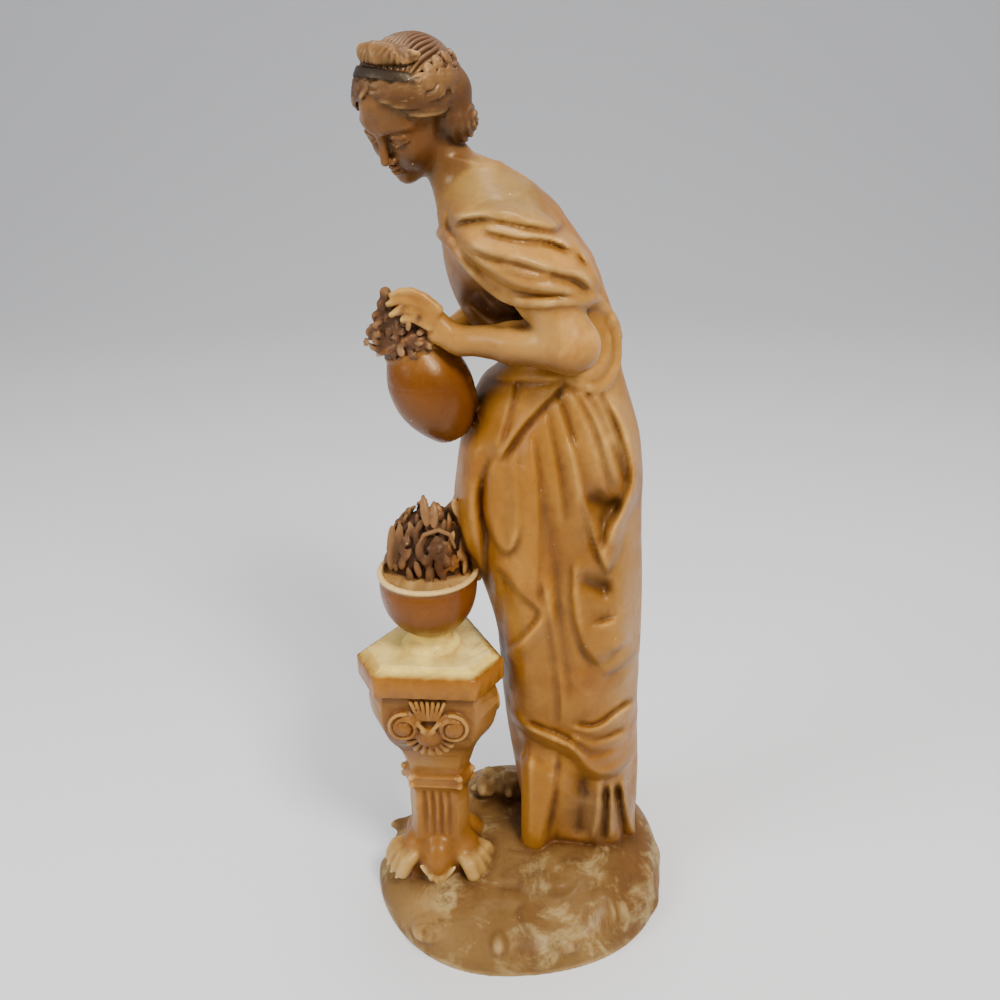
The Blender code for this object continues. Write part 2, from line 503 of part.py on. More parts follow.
# Strokes on the shown side: tags, kind, depth in mm, width and path in drawing units
SKIRT_FOLDS = [
    ([GIRL], "drop", -3.4, 12, [(642, 700), (632, 762), (620, 769), (604, 777), (586, 770), (575, 757), (554, 748),
                                (537, 736), (520, 722), (500, 700)]),
    # from the knot at the elbow: the rolled edge across the lap and the fan below it
    ([GIRL], "fold", 4.0, 8, [(566, 372), (530, 420), (495, 466)]),
    ([GIRL], "fold", -3.0, 6, [(574, 386), (542, 432), (510, 474)]),
    ([GIRL], "fold", -2.6, 6, [(516, 377), (505, 420), (492, 462)]),
    ([GIRL], "fold", 2.2, 7, [(505, 384), (494, 425), (482, 460)]),
    ([GIRL], "fold", -2.2, 6, [(554, 388), (562, 431), (580, 500)]),
    ([GIRL], "fold", 2.4, 7, [(562, 382), (576, 428), (598, 492)]),
    ([GIRL], "fold", -2.4, 6, [(572, 380), (594, 428), (618, 486)]),
    ([GIRL], "fold", 2.2, 7, [(586, 392), (608, 430), (628, 470)]),
    ([GIRL], "fold", 2.0, 11, [(532, 420), (528, 490), (534, 560)]),
    ([GIRL], "fold", -1.6, 7, [(548, 430), (548, 500), (556, 570)]),
    # the sling at the hip and the folds that hang from it
    ([GIRL], "fold", -5.0, 10, [(586, 514), (603, 517), (620, 506)]),
    ([GIRL], "fold", 4.6, 7, [(640, 470), (622, 503), (603, 532), (590, 536)]),
    ([GIRL], "fold", 3.0, 6, [(586, 522), (594, 552), (610, 574)]),
    ([GIRL], "fold", -4.2, 9, [(612, 566), (596, 580), (580, 584), (576, 612), (588, 642), (600, 660)]),
    ([GIRL], "fold", 4.0, 11, [(604, 600), (612, 635), (606, 668)]),
    ([GIRL], "fold", -3.4, 9, [(566, 520), (566, 600), (574, 700)]),
    ([GIRL], "fold", 3.2, 8, [(548, 560), (550, 640), (561, 735)]),
    ([GIRL], "fold", 2.4, 8, [(632, 540), (628, 600), (634, 660)]),
    ([GIRL], "fold", -2.4, 7, [(622, 560), (624, 620), (622, 680)]),
    # the lap's own edge
    ([GIRL], "lap", -3.0, 6, [(485, 492), (494, 524), (508, 550)]),
    ([GIRL], "lap", -3.0, 6, [(492, 552), (512, 584), (541, 611), (528, 632), (500, 656)]),
    ([GIRL], "fold", 3.0, 8, [(478, 430), (469, 480), (472, 560)]),
    ([GIRL], "fold", -3.2, 8, [(490, 440), (482, 490), (486, 560), (490, 660), (500, 740)]),
    # the hem gathers
    ([GIRL], "fold", -2.6, 6, [(572, 716), (600, 723), (626, 705)]),
    ([GIRL], "fold", 2.6, 7, [(566, 730), (596, 742), (630, 724)]),
    ([GIRL], "fold", -2.2, 6, [(574, 745), (600, 754), (630, 742)]),
    ([GIRL], "fold", 2.6, 6, [(600, 785), (598, 815), (594, 846)]),
    ([GIRL], "fold", -2.4, 5, [(608, 785), (608, 815), (606, 846)]),
    ([GIRL], "fold", 2.6, 6, [(617, 780), (618, 812), (618, 846)]),
    ([GIRL], "fold", -2.4, 5, [(626, 775), (628, 812), (630, 842)]),
]

SHAWL_FOLDS = [
    ([GIRL, SHAWL, SKIN], "lap", 1.8, 6, [(440, 215), (500, 213), (545, 220), (572, 216)]),
    ([GIRL, SHAWL, SKIN], "fold", -2.2, 6, [(450, 226), (472, 254), (510, 275), (560, 284), (600, 300)]),
    ([GIRL, SHAWL, SKIN], "fold", 2.0, 7, [(456, 226), (484, 252), (525, 266), (575, 276)]),
    ([GIRL, SHAWL, SKIN], "fold", -2.0, 6, [(464, 230), (500, 250), (545, 260), (590, 274)]),
    ([GIRL, SHAWL, SKIN], "fold", 1.6, 7, [(476, 228), (520, 243), (570, 252)]),
    ([GIRL, SHAWL, SKIN], "fold", -1.4, 5, [(490, 226), (530, 236), (575, 242)]),
    ([GIRL], "fold", -3.0, 12, [(468, 295), (490, 312), (520, 318)]),
]


def eased(f):
    """Field with the stair marks of the carving taken off."""
    for ax in range(3):
        f = np.swapaxes(f, 0, ax).copy()
        f[1:-1] = 0.5 * f[1:-1] + 0.25 * (f[:-2] + f[2:])
        f = np.swapaxes(f, 0, ax)
    return f


def mesh_of(clay):
    """Closed skin of the field, by cutting every cell into six tetrahedra."""
    f = np.ascontiguousarray(clay.f)
    f = f.copy()
    f[np.abs(f) < 1e-4] = 1e-4
    for s in (0, -1):
        f[s], f[:, s], f[:, :, s] = 1.0, 1.0, 1.0
    n = np.array(f.shape)
    inside = f < 0
    corner = [(0, 0, 0), (1, 0, 0), (0, 1, 0), (1, 1, 0), (0, 0, 1), (1, 0, 1), (0, 1, 1), (1, 1, 1)]

    def block(a, c):
        return a[c[0]:n[0] - 1 + c[0], c[1]:n[1] - 1 + c[1], c[2]:n[2] - 1 + c[2]]
    count = sum(block(inside, c).astype(np.uint8) for c in corner)
    cell = np.stack(np.nonzero((count > 0) & (count < 8)), 1).astype(np.int64)
    stride = np.array([n[1] * n[2], n[2], 1])
    ids = [(cell + c) @ stride for c in corner]
    flat, fin = f.ravel(), inside.ravel()
    tris = []
    for tet in ((0, 1, 3, 7), (0, 3, 2, 7), (0, 2, 6, 7), (0, 6, 4, 7), (0, 4, 5, 7), (0, 5, 1, 7)):
        q = np.stack([ids[c] for c in tet], 1)
        code = fin[q] @ np.array([1, 2, 4, 8])
        for c in range(1, 15):
            rows = q[code == c]
            if not len(rows):
                continue
            ins = [k for k in range(4) if c >> k & 1]
            out = [k for k in range(4) if not c >> k & 1]
            if len(ins) == 2:
                e = [(ins[0], out[0]), (ins[0], out[1]), (ins[1], out[1]), (ins[1], out[0])]
                faces = [(0, 1, 2), (0, 2, 3)]
            else:
                one, rest = (ins[0], out) if len(ins) == 1 else (out[0], ins)
                e = [(one, k) for k in rest]
                faces = [(0, 1, 2)]
            for fc in faces:
                tri = np.stack([np.stack([rows[:, e[k][0]], rows[:, e[k][1]]], 1) for k in fc], 1)
                tris.append((tri, np.stack([rows[:, ins[0]], rows[:, out[0]]], 1)))
    tri = np.concatenate([t[0] for t in tris])
    io = np.concatenate([t[1] for t in tris])
    lo, hi = tri.min(2), tri.max(2)
    key = lo * int(n.prod()) + hi
    uniq, inv = np.unique(key.ravel(), return_inverse=True)
    a, b = uniq // int(n.prod()), uniq % int(n.prod())
    pa, pb = (np.stack(np.unravel_index(k, f.shape), 1).astype(np.float64) for k in (a, b))
    w = (flat[a] / (flat[a] - flat[b]))[:, None]
    v = (pa + (pb - pa) * w) * clay.pitch + clay.lo
    t = inv.reshape(-1, 3)
    p = v[t]
    nrm = np.cross(p[:, 1] - p[:, 0], p[:, 2] - p[:, 0])
    way = (np.stack(np.unravel_index(io[:, 1], f.shape), 1) - np.stack(np.unravel_index(io[:, 0], f.shape), 1))
    flip = (nrm * way).sum(1) < 0
    t[flip] = t[flip][:, ::-1]
    return v, t


def make(pitch):
    a, b, h = PLINTH_WIDTH * MM / 2 + 6, PLINTH_DEPTH * MM / 2 + 6, HEIGHT * MM + 8
    clay = Clay([-a, -b, -3.0], [a, b, h], pitch)
    girl(clay)
    mound(clay)
    stand(clay)
    carve(clay, SKIRT_FOLDS + SHAWL_FOLDS)
    clay.f = eased(clay.f)
    head(clay)
    hair(clay)
    vessels(clay)
    clay.f = np.maximum(clay.f, (clay.lo[2] + clay.pitch * np.arange(clay.n[2]))[None, None, :] * -1.0)
    return clay


def build():
    for ob in list(bpy.data.objects):
        bpy.data.objects.remove(ob, do_unlink=True)
    clay = make(PITCH)
    v, t = mesh_of(clay)
    v[:, 2] *= FULL / v[:, 2].max()
    me = bpy.data.meshes.new("figurine")
    me.from_pydata((v / MM).tolist(), [], t.tolist())
    ob = bpy.data.objects.new("figurine", me)
    bpy.context.scene.collection.objects.link(ob)
    mat = bpy.data.materials.new("chalkware_cast")
    mat.use_nodes = True
    bsdf = mat.node_tree.nodes["Principled BSDF"]
    bsdf.inputs["Base Color"].default_value = (0.50, 0.29, 0.10, 1.0)
    bsdf.inputs["Roughness"].default_value = 0.45
    me.materials.append(mat)
    dec = ob.modifiers.new("thin", 'DECIMATE')
    dec.ratio = min(1.0, TRIANGLES / len(me.polygons))
    dg = bpy.context.evaluated_depsgraph_get()
    new = bpy.data.meshes.new_from_object(ob.evaluated_get(dg))
    ob.modifiers.clear()
    ob.data = new
    new.name = "figurine"
    return ob


build()
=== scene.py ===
"""Looks of the cast figurine of a girl bending over a tripod stand, built round its solid.

Millimetres in the modelling code, metres in the meshes, +Z up, origin under the plinth.
The girl faces -X, her left side is turned to -Y, which is the side it is shown from.
"""

from concurrent.futures import ThreadPoolExecutor
from math import ceil, cos, pi, radians, sin, sqrt, tau

import bpy
import numpy as np
from mathutils import Matrix, Vector


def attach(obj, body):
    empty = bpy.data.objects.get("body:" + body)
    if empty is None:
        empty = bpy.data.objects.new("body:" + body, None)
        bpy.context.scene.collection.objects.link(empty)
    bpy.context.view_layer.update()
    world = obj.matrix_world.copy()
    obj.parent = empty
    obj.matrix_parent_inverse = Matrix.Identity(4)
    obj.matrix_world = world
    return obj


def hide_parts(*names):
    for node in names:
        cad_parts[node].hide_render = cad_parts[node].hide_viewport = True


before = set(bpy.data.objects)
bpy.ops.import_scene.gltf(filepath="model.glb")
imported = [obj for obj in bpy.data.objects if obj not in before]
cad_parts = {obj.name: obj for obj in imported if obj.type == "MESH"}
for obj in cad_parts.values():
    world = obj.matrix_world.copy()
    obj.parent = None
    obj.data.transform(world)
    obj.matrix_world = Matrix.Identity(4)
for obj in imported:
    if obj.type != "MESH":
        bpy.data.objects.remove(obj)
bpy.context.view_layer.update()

# Overall sizes in metres
HEIGHT = 0.423            # floor to the top of the hair
PLINTH_WIDTH = 0.155      # left to right
PLINTH_DEPTH = 0.146      # front to back
PLINTH_HEIGHT = 0.030     # where the girl's feet stand
STAND_DROP = 0.009        # the paws stand that much lower, on the slope
STAND_HEIGHT = 0.1535     # floor to the top of the stand's slab
SLAB_THICKNESS = 0.0150
SLAB_REACH = 0.0275       # stand's axis to a long side of the slab
BOWL_RADIUS = 0.0232
BOWL_HEIGHT = 0.0310
BOWL_FOOT_HEIGHT = 0.0095
JUG_RADIUS = 0.0212
JUG_LENGTH = 0.0600

# Placing, in metres: the girl's middle plane and the stand's axis
GIRL_Y = 0.010
STAND_X, STAND_Y = -0.0418, -0.0087
STAND_TURN = -5.0         # degrees

# Parts of the figure that are sampled on a grid of their own, the finer ones first:
# lowest corner, highest corner, spacing of the grid and share of the faces
REGIONS = [
    ((-68, -38, 286), (-26, 4, 326), 0.42, 0.08),       # flowers in the jug
    ((-80, -50, 364), (18, 50, 428), 0.42, 0.19),       # head
    ((-72, -40, 160), (-9, 38, 224), 0.46, 0.11),       # bowl of flowers
    ((-78, -46, 255), (76, 76, 365), 0.60, 0.20),       # arms, jug and shawl
    ((-80, -46, 14), (-9, 40, 161), 0.60, 0.13),        # stand
    ((-90, -85, -3), (90, 85, 256), 0.76, 0.29),        # skirt and mound
]
COARSE = 1.2
TRIANGLES = 195000
MARGIN = 4.0              # grid round a region
OVERLAP, SINK = 2.4, 0.6  # how far neighbours reach into each other, and sink as they do
WHOLE = (-90, -85, -3), (90, 85, 432), 1.92    # grid on which touch finds the surface
FINE_REACH, WIDE_REACH = 1.5, 5.0              # reaches at which recesses are felt
SLAB_EDGE = 3.0           # the slab is pale down to here from its top
SHARP = 62                # degrees

FULL = 423.0              # the figure's own stations are written for this height
MM = FULL / HEIGHT        # stations in a metre


def curve(rows, t):
    """Smooth curve through stations (t, values...)."""
    k = np.array([r[0] for r in rows], float)
    v = np.array([r[1:] for r in rows], float)
    m = np.gradient(v, k, axis=0)
    t = np.clip(np.ravel(t).astype(float), k[0], k[-1])
    i = np.clip(np.searchsorted(k, t, side="right") - 1, 0, len(k) - 2)
    h = (k[i + 1] - k[i])[:, None]
    s = (t - k[i])[:, None] / h
    out = ((2 * s**3 - 3 * s**2 + 1) * v[i] + (s**3 - 2 * s**2 + s) * h * m[i]
           + (3 * s**2 - 2 * s**3) * v[i + 1] + (s**3 - s**2) * h * m[i + 1])
    return [c.astype(np.float32) for c in out.T]


def ramp(v, lo, hi):
    """Smooth step from 0 at lo to 1 at hi."""
    s = np.clip((v - lo) / (hi - lo), 0.0, 1.0)
    return s * s * (3.0 - 2.0 * s)


def placed(name, data):
    """New object in the scene."""
    ob = bpy.data.objects.new(name, data)
    bpy.context.scene.collection.objects.link(ob)
    return ob


class Clay:
    """Distance field on a grid: forms are added, merged softly and carved."""

    def __init__(self, lo, hi, pitch):
        self.lo = np.array(lo, float)
        self.pitch = pitch
        self.n = np.ceil((np.array(hi) - self.lo) / pitch).astype(int) + 1
        self.f = np.full(self.n, 30.0, np.float32)
        self.tag = np.zeros(self.n, np.uint8)

    def window(self, lo, hi, pad):
        a = np.clip(np.floor((np.array(lo) - pad - self.lo) / self.pitch).astype(int), 0, self.n - 1)
        b = np.clip(np.ceil((np.array(hi) + pad - self.lo) / self.pitch).astype(int) + 1, a + 1, self.n)
        s = tuple(slice(i, j) for i, j in zip(a, b))
        x, y, z = (np.arange(i, j, dtype=np.float32) * np.float32(self.pitch) + np.float32(c)
                   for i, j, c in zip(a, b, self.lo))
        return s, x[:, None, None], y[None, :, None], z[None, None, :]

    def cut(self, form, soft=0.0):
        self.add(form, soft, cut=True)

    def add(self, form, soft=0.0, tag=0, cut=False):
        """Merge a form (lowest corner, highest corner, distance) within soft, and mark it with a tag."""
        lo, hi, fn = form
        pad = 4.0 + 2.0 * soft
        if np.any(np.array(hi) + pad < self.lo) or np.any(np.array(lo) - pad > self.lo + self.pitch * (self.n - 1)):
            return
        s, x, y, z = self.window(lo, hi, pad)
        g = np.asarray(fn(x, y, z), np.float32)
        f = self.f[s]
        if cut:
            if soft:
                h = np.maximum(soft - np.abs(f + g), 0.0) / soft
                self.f[s] = np.maximum(f, -g) + h * h * soft * 0.25
            else:
                self.f[s] = np.maximum(f, -g)
            return
        if tag:
            self.tag[s] = np.where(g < f, np.uint8(tag), self.tag[s])
        if soft:
            h = np.maximum(soft - np.abs(f - g), 0.0) / soft
            self.f[s] = np.minimum(f, g) - h * h * soft * 0.25
        else:
            self.f[s] = np.minimum(f, g)


def sample(clay, grid, p):
    """Values of a grid at points, in between its cells."""
    q = (np.asarray(p, np.float32) - clay.lo.astype(np.float32)) / clay.pitch
    q = np.clip(q, 0, np.array(grid.shape) - 1.001)
    i = q.astype(int)
    w = (q - i).astype(np.float32)
    out = np.zeros(len(q), np.float32)
    for c in range(8):
        b = np.array([c & 1, c >> 1 & 1, c >> 2 & 1])
        k = np.where(b, w, 1 - w).prod(1)
        j = i + b
        out += k * grid[j[:, 0], j[:, 1], j[:, 2]]
    return out


def chain(points, radii):
    """Rounded cones from point to point."""
    p = np.array(points, np.float32)
    r = np.broadcast_to(np.array(radii, np.float32), (len(p),))

    def fn(x, y, z):
        best = np.float32(1e6)
        for a, b, ra, rb in zip(p, p[1:], r, r[1:]):
            d = b - a
            px, py, pz = x - a[0], y - a[1], z - a[2]
            h = np.clip((px * d[0] + py * d[1] + pz * d[2]) / (float(d @ d) + 1e-9), 0.0, 1.0)
            e = np.sqrt((px - h * d[0])**2 + (py - h * d[1])**2 + (pz - h * d[2])**2) - (ra + (rb - ra) * h)
            best = np.minimum(best, e)
        return best
    m = float(r.max())
    return p.min(0) - m, p.max(0) + m, fn


def bead(a, b, ra, rb=None):
    return chain([a, b], [ra, ra if rb is None else rb])


def egg(c, radii, axes=None):
    """Ellipsoid, axes given as rows of a rotation."""
    c = np.array(c, np.float32)
    q = np.array(radii, np.float32)
    m = np.eye(3, dtype=np.float32) if axes is None else np.array(axes, np.float32)
    reach = np.sqrt(((m * q[:, None])**2).sum(0))

    def fn(x, y, z):
        px, py, pz = x - c[0], y - c[1], z - c[2]
        k0 = k1 = 0.0
        for i in range(3):
            e = px * m[i, 0] + py * m[i, 1] + pz * m[i, 2]
            k0 = k0 + (e / q[i])**2
            k1 = k1 + (e / (q[i] * q[i]))**2
        k0 = np.sqrt(k0)
        return k0 * (k0 - 1.0) / np.maximum(np.sqrt(k1), 1e-4)
    return c - reach, c + reach, fn


def turned(base, axis, profile):
    """Turned form: profile rows are (distance along the axis, radius)."""
    base = np.array(base, np.float32)
    axis = np.array(axis, np.float32)
    axis = axis / np.linalg.norm(axis)
    t = np.linspace(profile[0][0], profile[-1][0], 400, dtype=np.float32)
    r = curve(profile, t)[0]
    ends = np.array([base + axis * t[0], base + axis * t[-1]])

    def fn(x, y, z):
        px, py, pz = x - base[0], y - base[1], z - base[2]
        h = px * axis[0] + py * axis[1] + pz * axis[2]
        rr = np.sqrt(np.maximum(px * px + py * py + pz * pz - h * h, 0.0))
        rad = np.interp(h.ravel(), t, r).reshape(h.shape).astype(np.float32)
        slope = np.interp(h.ravel(), t, np.gradient(r, t)).reshape(h.shape).astype(np.float32)
        side = (rr - rad) / np.sqrt(1.0 + slope * slope)
        return np.maximum(side, np.maximum(t[0] - h, h - t[-1]))
    m = float(r.max())
    return ends.min(0) - m, ends.max(0) + m, fn


def pillar(rows, power=2.0, wave=None):
    """Upright form: rows are (z, middle x, middle y, half width x, half width y)."""
    z0, z1 = rows[0][0], rows[-1][0]
    lo = [min(r[1] - r[3] for r in rows) - 6, min(r[2] - r[4] for r in rows) - 6, z0]
    hi = [max(r[1] + r[3] for r in rows) + 6, max(r[2] + r[4] for r in rows) + 6, z1]

    def fn(x, y, z):
        cx, cy, a, b = curve(rows, z)
        dx, dy = x - cx, y - cy
        r = np.sqrt(dx * dx + dy * dy) + 1e-3
        rho = ((np.abs(dx) / a)**power + (np.abs(dy) / b)**power)**(1.0 / power) + 1e-3
        edge = r / rho
        if wave is not None:
            edge = edge + wave(np.arctan2(dy, dx), z, edge)
        d = r - edge
        return np.maximum(d, np.maximum(z0 - z, z - z1))
    return lo, hi, fn


def slab(centre, sides, z0, z1):
    """Prism: sides are (outward angle in degrees, distance), z from z0 to z1."""
    cx, cy = centre
    reach = max(s[1] for s in sides) * 1.6

    def fn(x, y, z):
        d = np.maximum(z0 - z, z - z1)
        for ang, dist in sides:
            a = radians(ang)
            d = np.maximum(d, (x - cx) * cos(a) + (y - cy) * sin(a) - dist)
        return d
    return [cx - reach, cy - reach, z0], [cx + reach, cy + reach, z1], fn


def tripod(centre, rows, turn):
    """Three-sided form: rows are (z, distance to a face, distance to a corner)."""
    cx, cy = centre
    reach = max(max(r[1], r[2]) for r in rows) * 1.5

    def fn(x, y, z):
        face, corner = curve(rows, z)
        px, py = x - cx, y - cy
        d = np.maximum(rows[0][0] - z, z - rows[-1][0])
        for i in range(3):
            a = radians(turn - 90 + 120 * i)
            u = px * cos(a) + py * sin(a)
            d = np.maximum(d, u - face)
            a += radians(60)
            u = px * cos(a) + py * sin(a)
            d = np.maximum(d, u - corner)
        return d
    return [cx - reach, cy - reach, rows[0][0]], [cx + reach, cy + reach, rows[-1][0]], fn


# The side that the girl is shown from: a pinhole in front of -Y, looking down a little.
# Carving is drawn on that side in a square of 1000 units.
EYE = np.array([-7.2, -430.0, 418.0])
LOOK_DOWN = radians(24.3)
LEAN = radians(1.03)
FOCUS = 1012.0


def seen(x, y, z):
    """Drawing place at which a point shows."""
    cp, sp = cos(LOOK_DOWN), sin(LOOK_DOWN)
    dx, dy, dz = x - EYE[0], y - EYE[1], z - EYE[2]
    deep = dy * cp - dz * sp
    a = FOCUS * dx / deep
    b = -FOCUS * (dy * sp + dz * cp) / deep
    c, s = cos(LEAN), sin(LEAN)
    return 500 + a * c + b * s, 500 - a * s + b * c


def along(path, u, v):
    """Distance to a drawn line, side of it and place along it (0 to 1)."""
    p = np.array(path, np.float32)
    seg = np.hypot(*(p[1:] - p[:-1]).T)
    run = np.concatenate([[0], np.cumsum(seg)]) / seg.sum()
    best = np.full(u.shape, 1e9, np.float32)
    side = np.zeros_like(best)
    place = np.zeros_like(best)
    off = np.zeros_like(best)
    for i in range(len(p) - 1):
        d = p[i + 1] - p[i]
        h = np.clip(((u - p[i, 0]) * d[0] + (v - p[i, 1]) * d[1]) / float(d @ d), 0, 1)
        eu, ev = u - p[i, 0] - h * d[0], v - p[i, 1] - h * d[1]
        r = np.hypot(eu, ev)
        cross = ((v - p[i, 1]) * d[0] - (u - p[i, 0]) * d[1]) / float(np.hypot(*d))
        near = (r < best - 1e-3) | ((r < best + 1e-3) & (np.abs(cross) > off))
        best = np.where(near, r, best)
        off = np.where(near, np.abs(cross), off)
        side = np.where(near, np.sign(cross), side)
        place = np.where(near, run[i] + h * (run[i + 1] - run[i]), place)
    return best, side, place


def smooth_path(path, steps=5):
    rows = [(i, *p) for i, p in enumerate(path)]
    t = np.linspace(0, len(path) - 1, (len(path) - 1) * steps + 1)
    return np.stack(curve(rows, t), 1)


def carve(clay, strokes, tags, reach=11.0):
    """Push the surface out or in along drawn strokes, on the shown side."""
    ix = np.nonzero(np.abs(clay.f) < reach)
    x, y, z = (i * clay.pitch + c for i, c in zip(ix, clay.lo))
    u, v = (a.astype(np.float32) for a in seen(x, y, z))
    ahead = np.array([0, cos(LOOK_DOWN), -sin(LOOK_DOWN)])
    slope = [g[ix] for g in np.gradient(clay.f, clay.pitch)]
    steep = np.sqrt(sum(g * g for g in slope)) + 1e-6
    front = ramp(-sum(g * a for g, a in zip(slope, ahead)) / steep, 0.0, 0.3)
    cloth = np.isin(clay.tag[ix], tags)
    out = np.zeros(u.shape, np.float32)
    for kind, deep, wide, path in strokes:
        pts = smooth_path(path)
        m = (8.0 if kind == "drop" else 4.0) * max(wide, 3.6)
        sel = np.nonzero((u > pts[:, 0].min() - m) & (u < pts[:, 0].max() + m)
                         & (v > pts[:, 1].min() - m) & (v < pts[:, 1].max() + m)
                         & cloth)[0]
        if not len(sel):
            continue
        r, side, place = along(pts, u[sel], v[sel])
        sd = r * side
        if kind == "fold":
            push = np.exp(-(r / wide)**2)
            push = push * ramp(place, -0.02, 0.18) * ramp(1 - place, -0.02, 0.18)
        elif kind == "hollow":
            push = -np.exp(-(r / wide)**2)
        elif kind == "lap":      # the right-hand side of the path lies over the other
            wide = max(wide, 3.6)
            push = ramp(sd, -0.7 * wide, 0.6 * wide) * np.exp(-(np.maximum(sd, 0) / (3.3 * wide))**2)
            push = push - 0.36 * np.exp(-((sd + 0.8 * wide) / (0.75 * wide))**2)
            push = push * ramp(place, -0.02, 0.14) * ramp(1 - place, -0.02, 0.14)
        else:                    # everything on the right-hand side of the path sits lower
            push = ramp(sd, -0.5 * wide, 0.5 * wide) * ramp(m - sd, 0, 0.5 * m)
        out[sel] += (deep * push * front[sel]).astype(np.float32)
    clay.f[ix] -= out


def spot(u, v, y):
    """Point at depth y that shows at (u, v)."""
    d = sight(u, v)
    return EYE + d * (y - EYE[1]) / d[1]


def sight(u, v):
    """Direction from the eye through a drawing place."""
    c, s = cos(LEAN), sin(LEAN)
    a = ((u - 500) * c - (v - 500) * s) / FOCUS
    b = -((u - 500) * s + (v - 500) * c) / FOCUS
    cp, sp = cos(LOOK_DOWN), sin(LOOK_DOWN)
    return np.array([a, cp + sp * b, -sp + cp * b])


LAID = {}                 # what touch found on the whole figure, for the finer grids of its regions
NEAREST, FARTHEST = 330, 620    # the figure lies between these distances from the eye


def touch(clay, path, sink=0.0):
    """Points of the surface that show along a drawn path, sunk a little under it."""
    key = (np.array(path).round(2).tobytes(), sink)
    if key in LAID:
        return LAID[key]
    out = []
    t = np.arange(NEAREST, FARTHEST, clay.pitch * 0.7)
    for u, v in path:
        d = sight(u, v)
        p = EYE + t[:, None] * d
        f = sample(clay, clay.f, p)
        hit = np.nonzero(f < 0)[0]
        k = hit[0] if len(hit) else int(np.argmin(f))
        out.append(p[k] + d / np.linalg.norm(d) * sink)
    LAID[key] = np.array(out)
    return LAID[key]


def unit(v):
    return np.array(v, float) / np.linalg.norm(v)


def rosette(clay, c, n, r, petals, tag):
    """Open flower at c, facing n."""
    n = unit(n)
    u = unit(np.cross(n, (0.13, 0.2, 1)))
    v = np.cross(n, u)
    for i in range(petals):
        t = tau * i / petals
        d = u * cos(t) + v * sin(t)
        clay.add(egg(c + d * r * 0.60, (r * 0.42, r * 0.34, r * 0.24), [d, np.cross(n, d), n]), 0.3, tag)
    clay.add(egg(c + n * r * 0.14, (r * 0.34, r * 0.34, r * 0.28), [u, v, n]), 0, tag)
    clay.cut(egg(c + n * r * 0.44, (r * 0.13, r * 0.13, r * 0.16), [u, v, n]), 0.4)


def leaf(clay, a, b, wide, n, tag):
    """Arched leaf from a to its tip b, with a rib, its back to n."""
    a, b = np.array(a, float), np.array(b, float)
    d = unit(b - a)
    n = unit(np.array(n, float) - d * float(np.dot(n, d)))
    m = (a + b) / 2 + n * wide * 0.25
    clay.add(egg(m, (np.linalg.norm(b - a) * 0.54, wide / 2, wide * 0.24), [d, np.cross(n, d), n]), 0.5, tag)
    rib = n * wide * 0.30
    clay.add(chain([a + rib * 0.4, m + rib * 0.45, b], [0.5, 0.6, 0.35]), 0.5, tag)


GIRL, SKIN, HAIR, BAND, SHAWL, STAND, BOWL, BLOOM, JUG, MOUND, SPRIG, PAW, SLAB, FILL = range(1, 15)

# Head: its middle, its axes (forward, left, up) and its size against a 56 mm head
HEAD_AT = np.array([-41.4, 1.0, 396.0])
HEAD_SIZE = 0.92
HEAD_YAW, HEAD_NOD, HEAD_TIP = 50.0, 35.0, 6.0
COIL, KNOT = (-35.0, 6, 412.2), (-22.6, 3, 392)    # middles of the hair on the crown and at the nape
DOME = (-4.5, 0, 7.0)                              # middle of the hair's dome, in the head's axes


def head_axes():
    yaw, nod, tip = (radians(k) for k in (HEAD_YAW, HEAD_NOD, HEAD_TIP))
    f = np.array([-cos(nod) * cos(yaw), -cos(nod) * sin(yaw), -sin(nod)])
    l = np.array([sin(yaw), -cos(yaw), 0.0])
    up = np.cross(f, l)
    l = l * cos(tip) - up * sin(tip)
    return np.array([f, l, np.cross(f, l)])


def at_head(p):
    return HEAD_AT + HEAD_SIZE * np.array(p, float) @ head_axes()


def head_egg(p, radii):
    return egg(at_head(p), np.array(radii) * HEAD_SIZE, head_axes())


def head_chain(points, radii):
    return chain([at_head(p) for p in points], np.array(radii) * HEAD_SIZE)


def head_bead(a, b, ra, rb):
    return head_chain([a, b], [ra, rb])


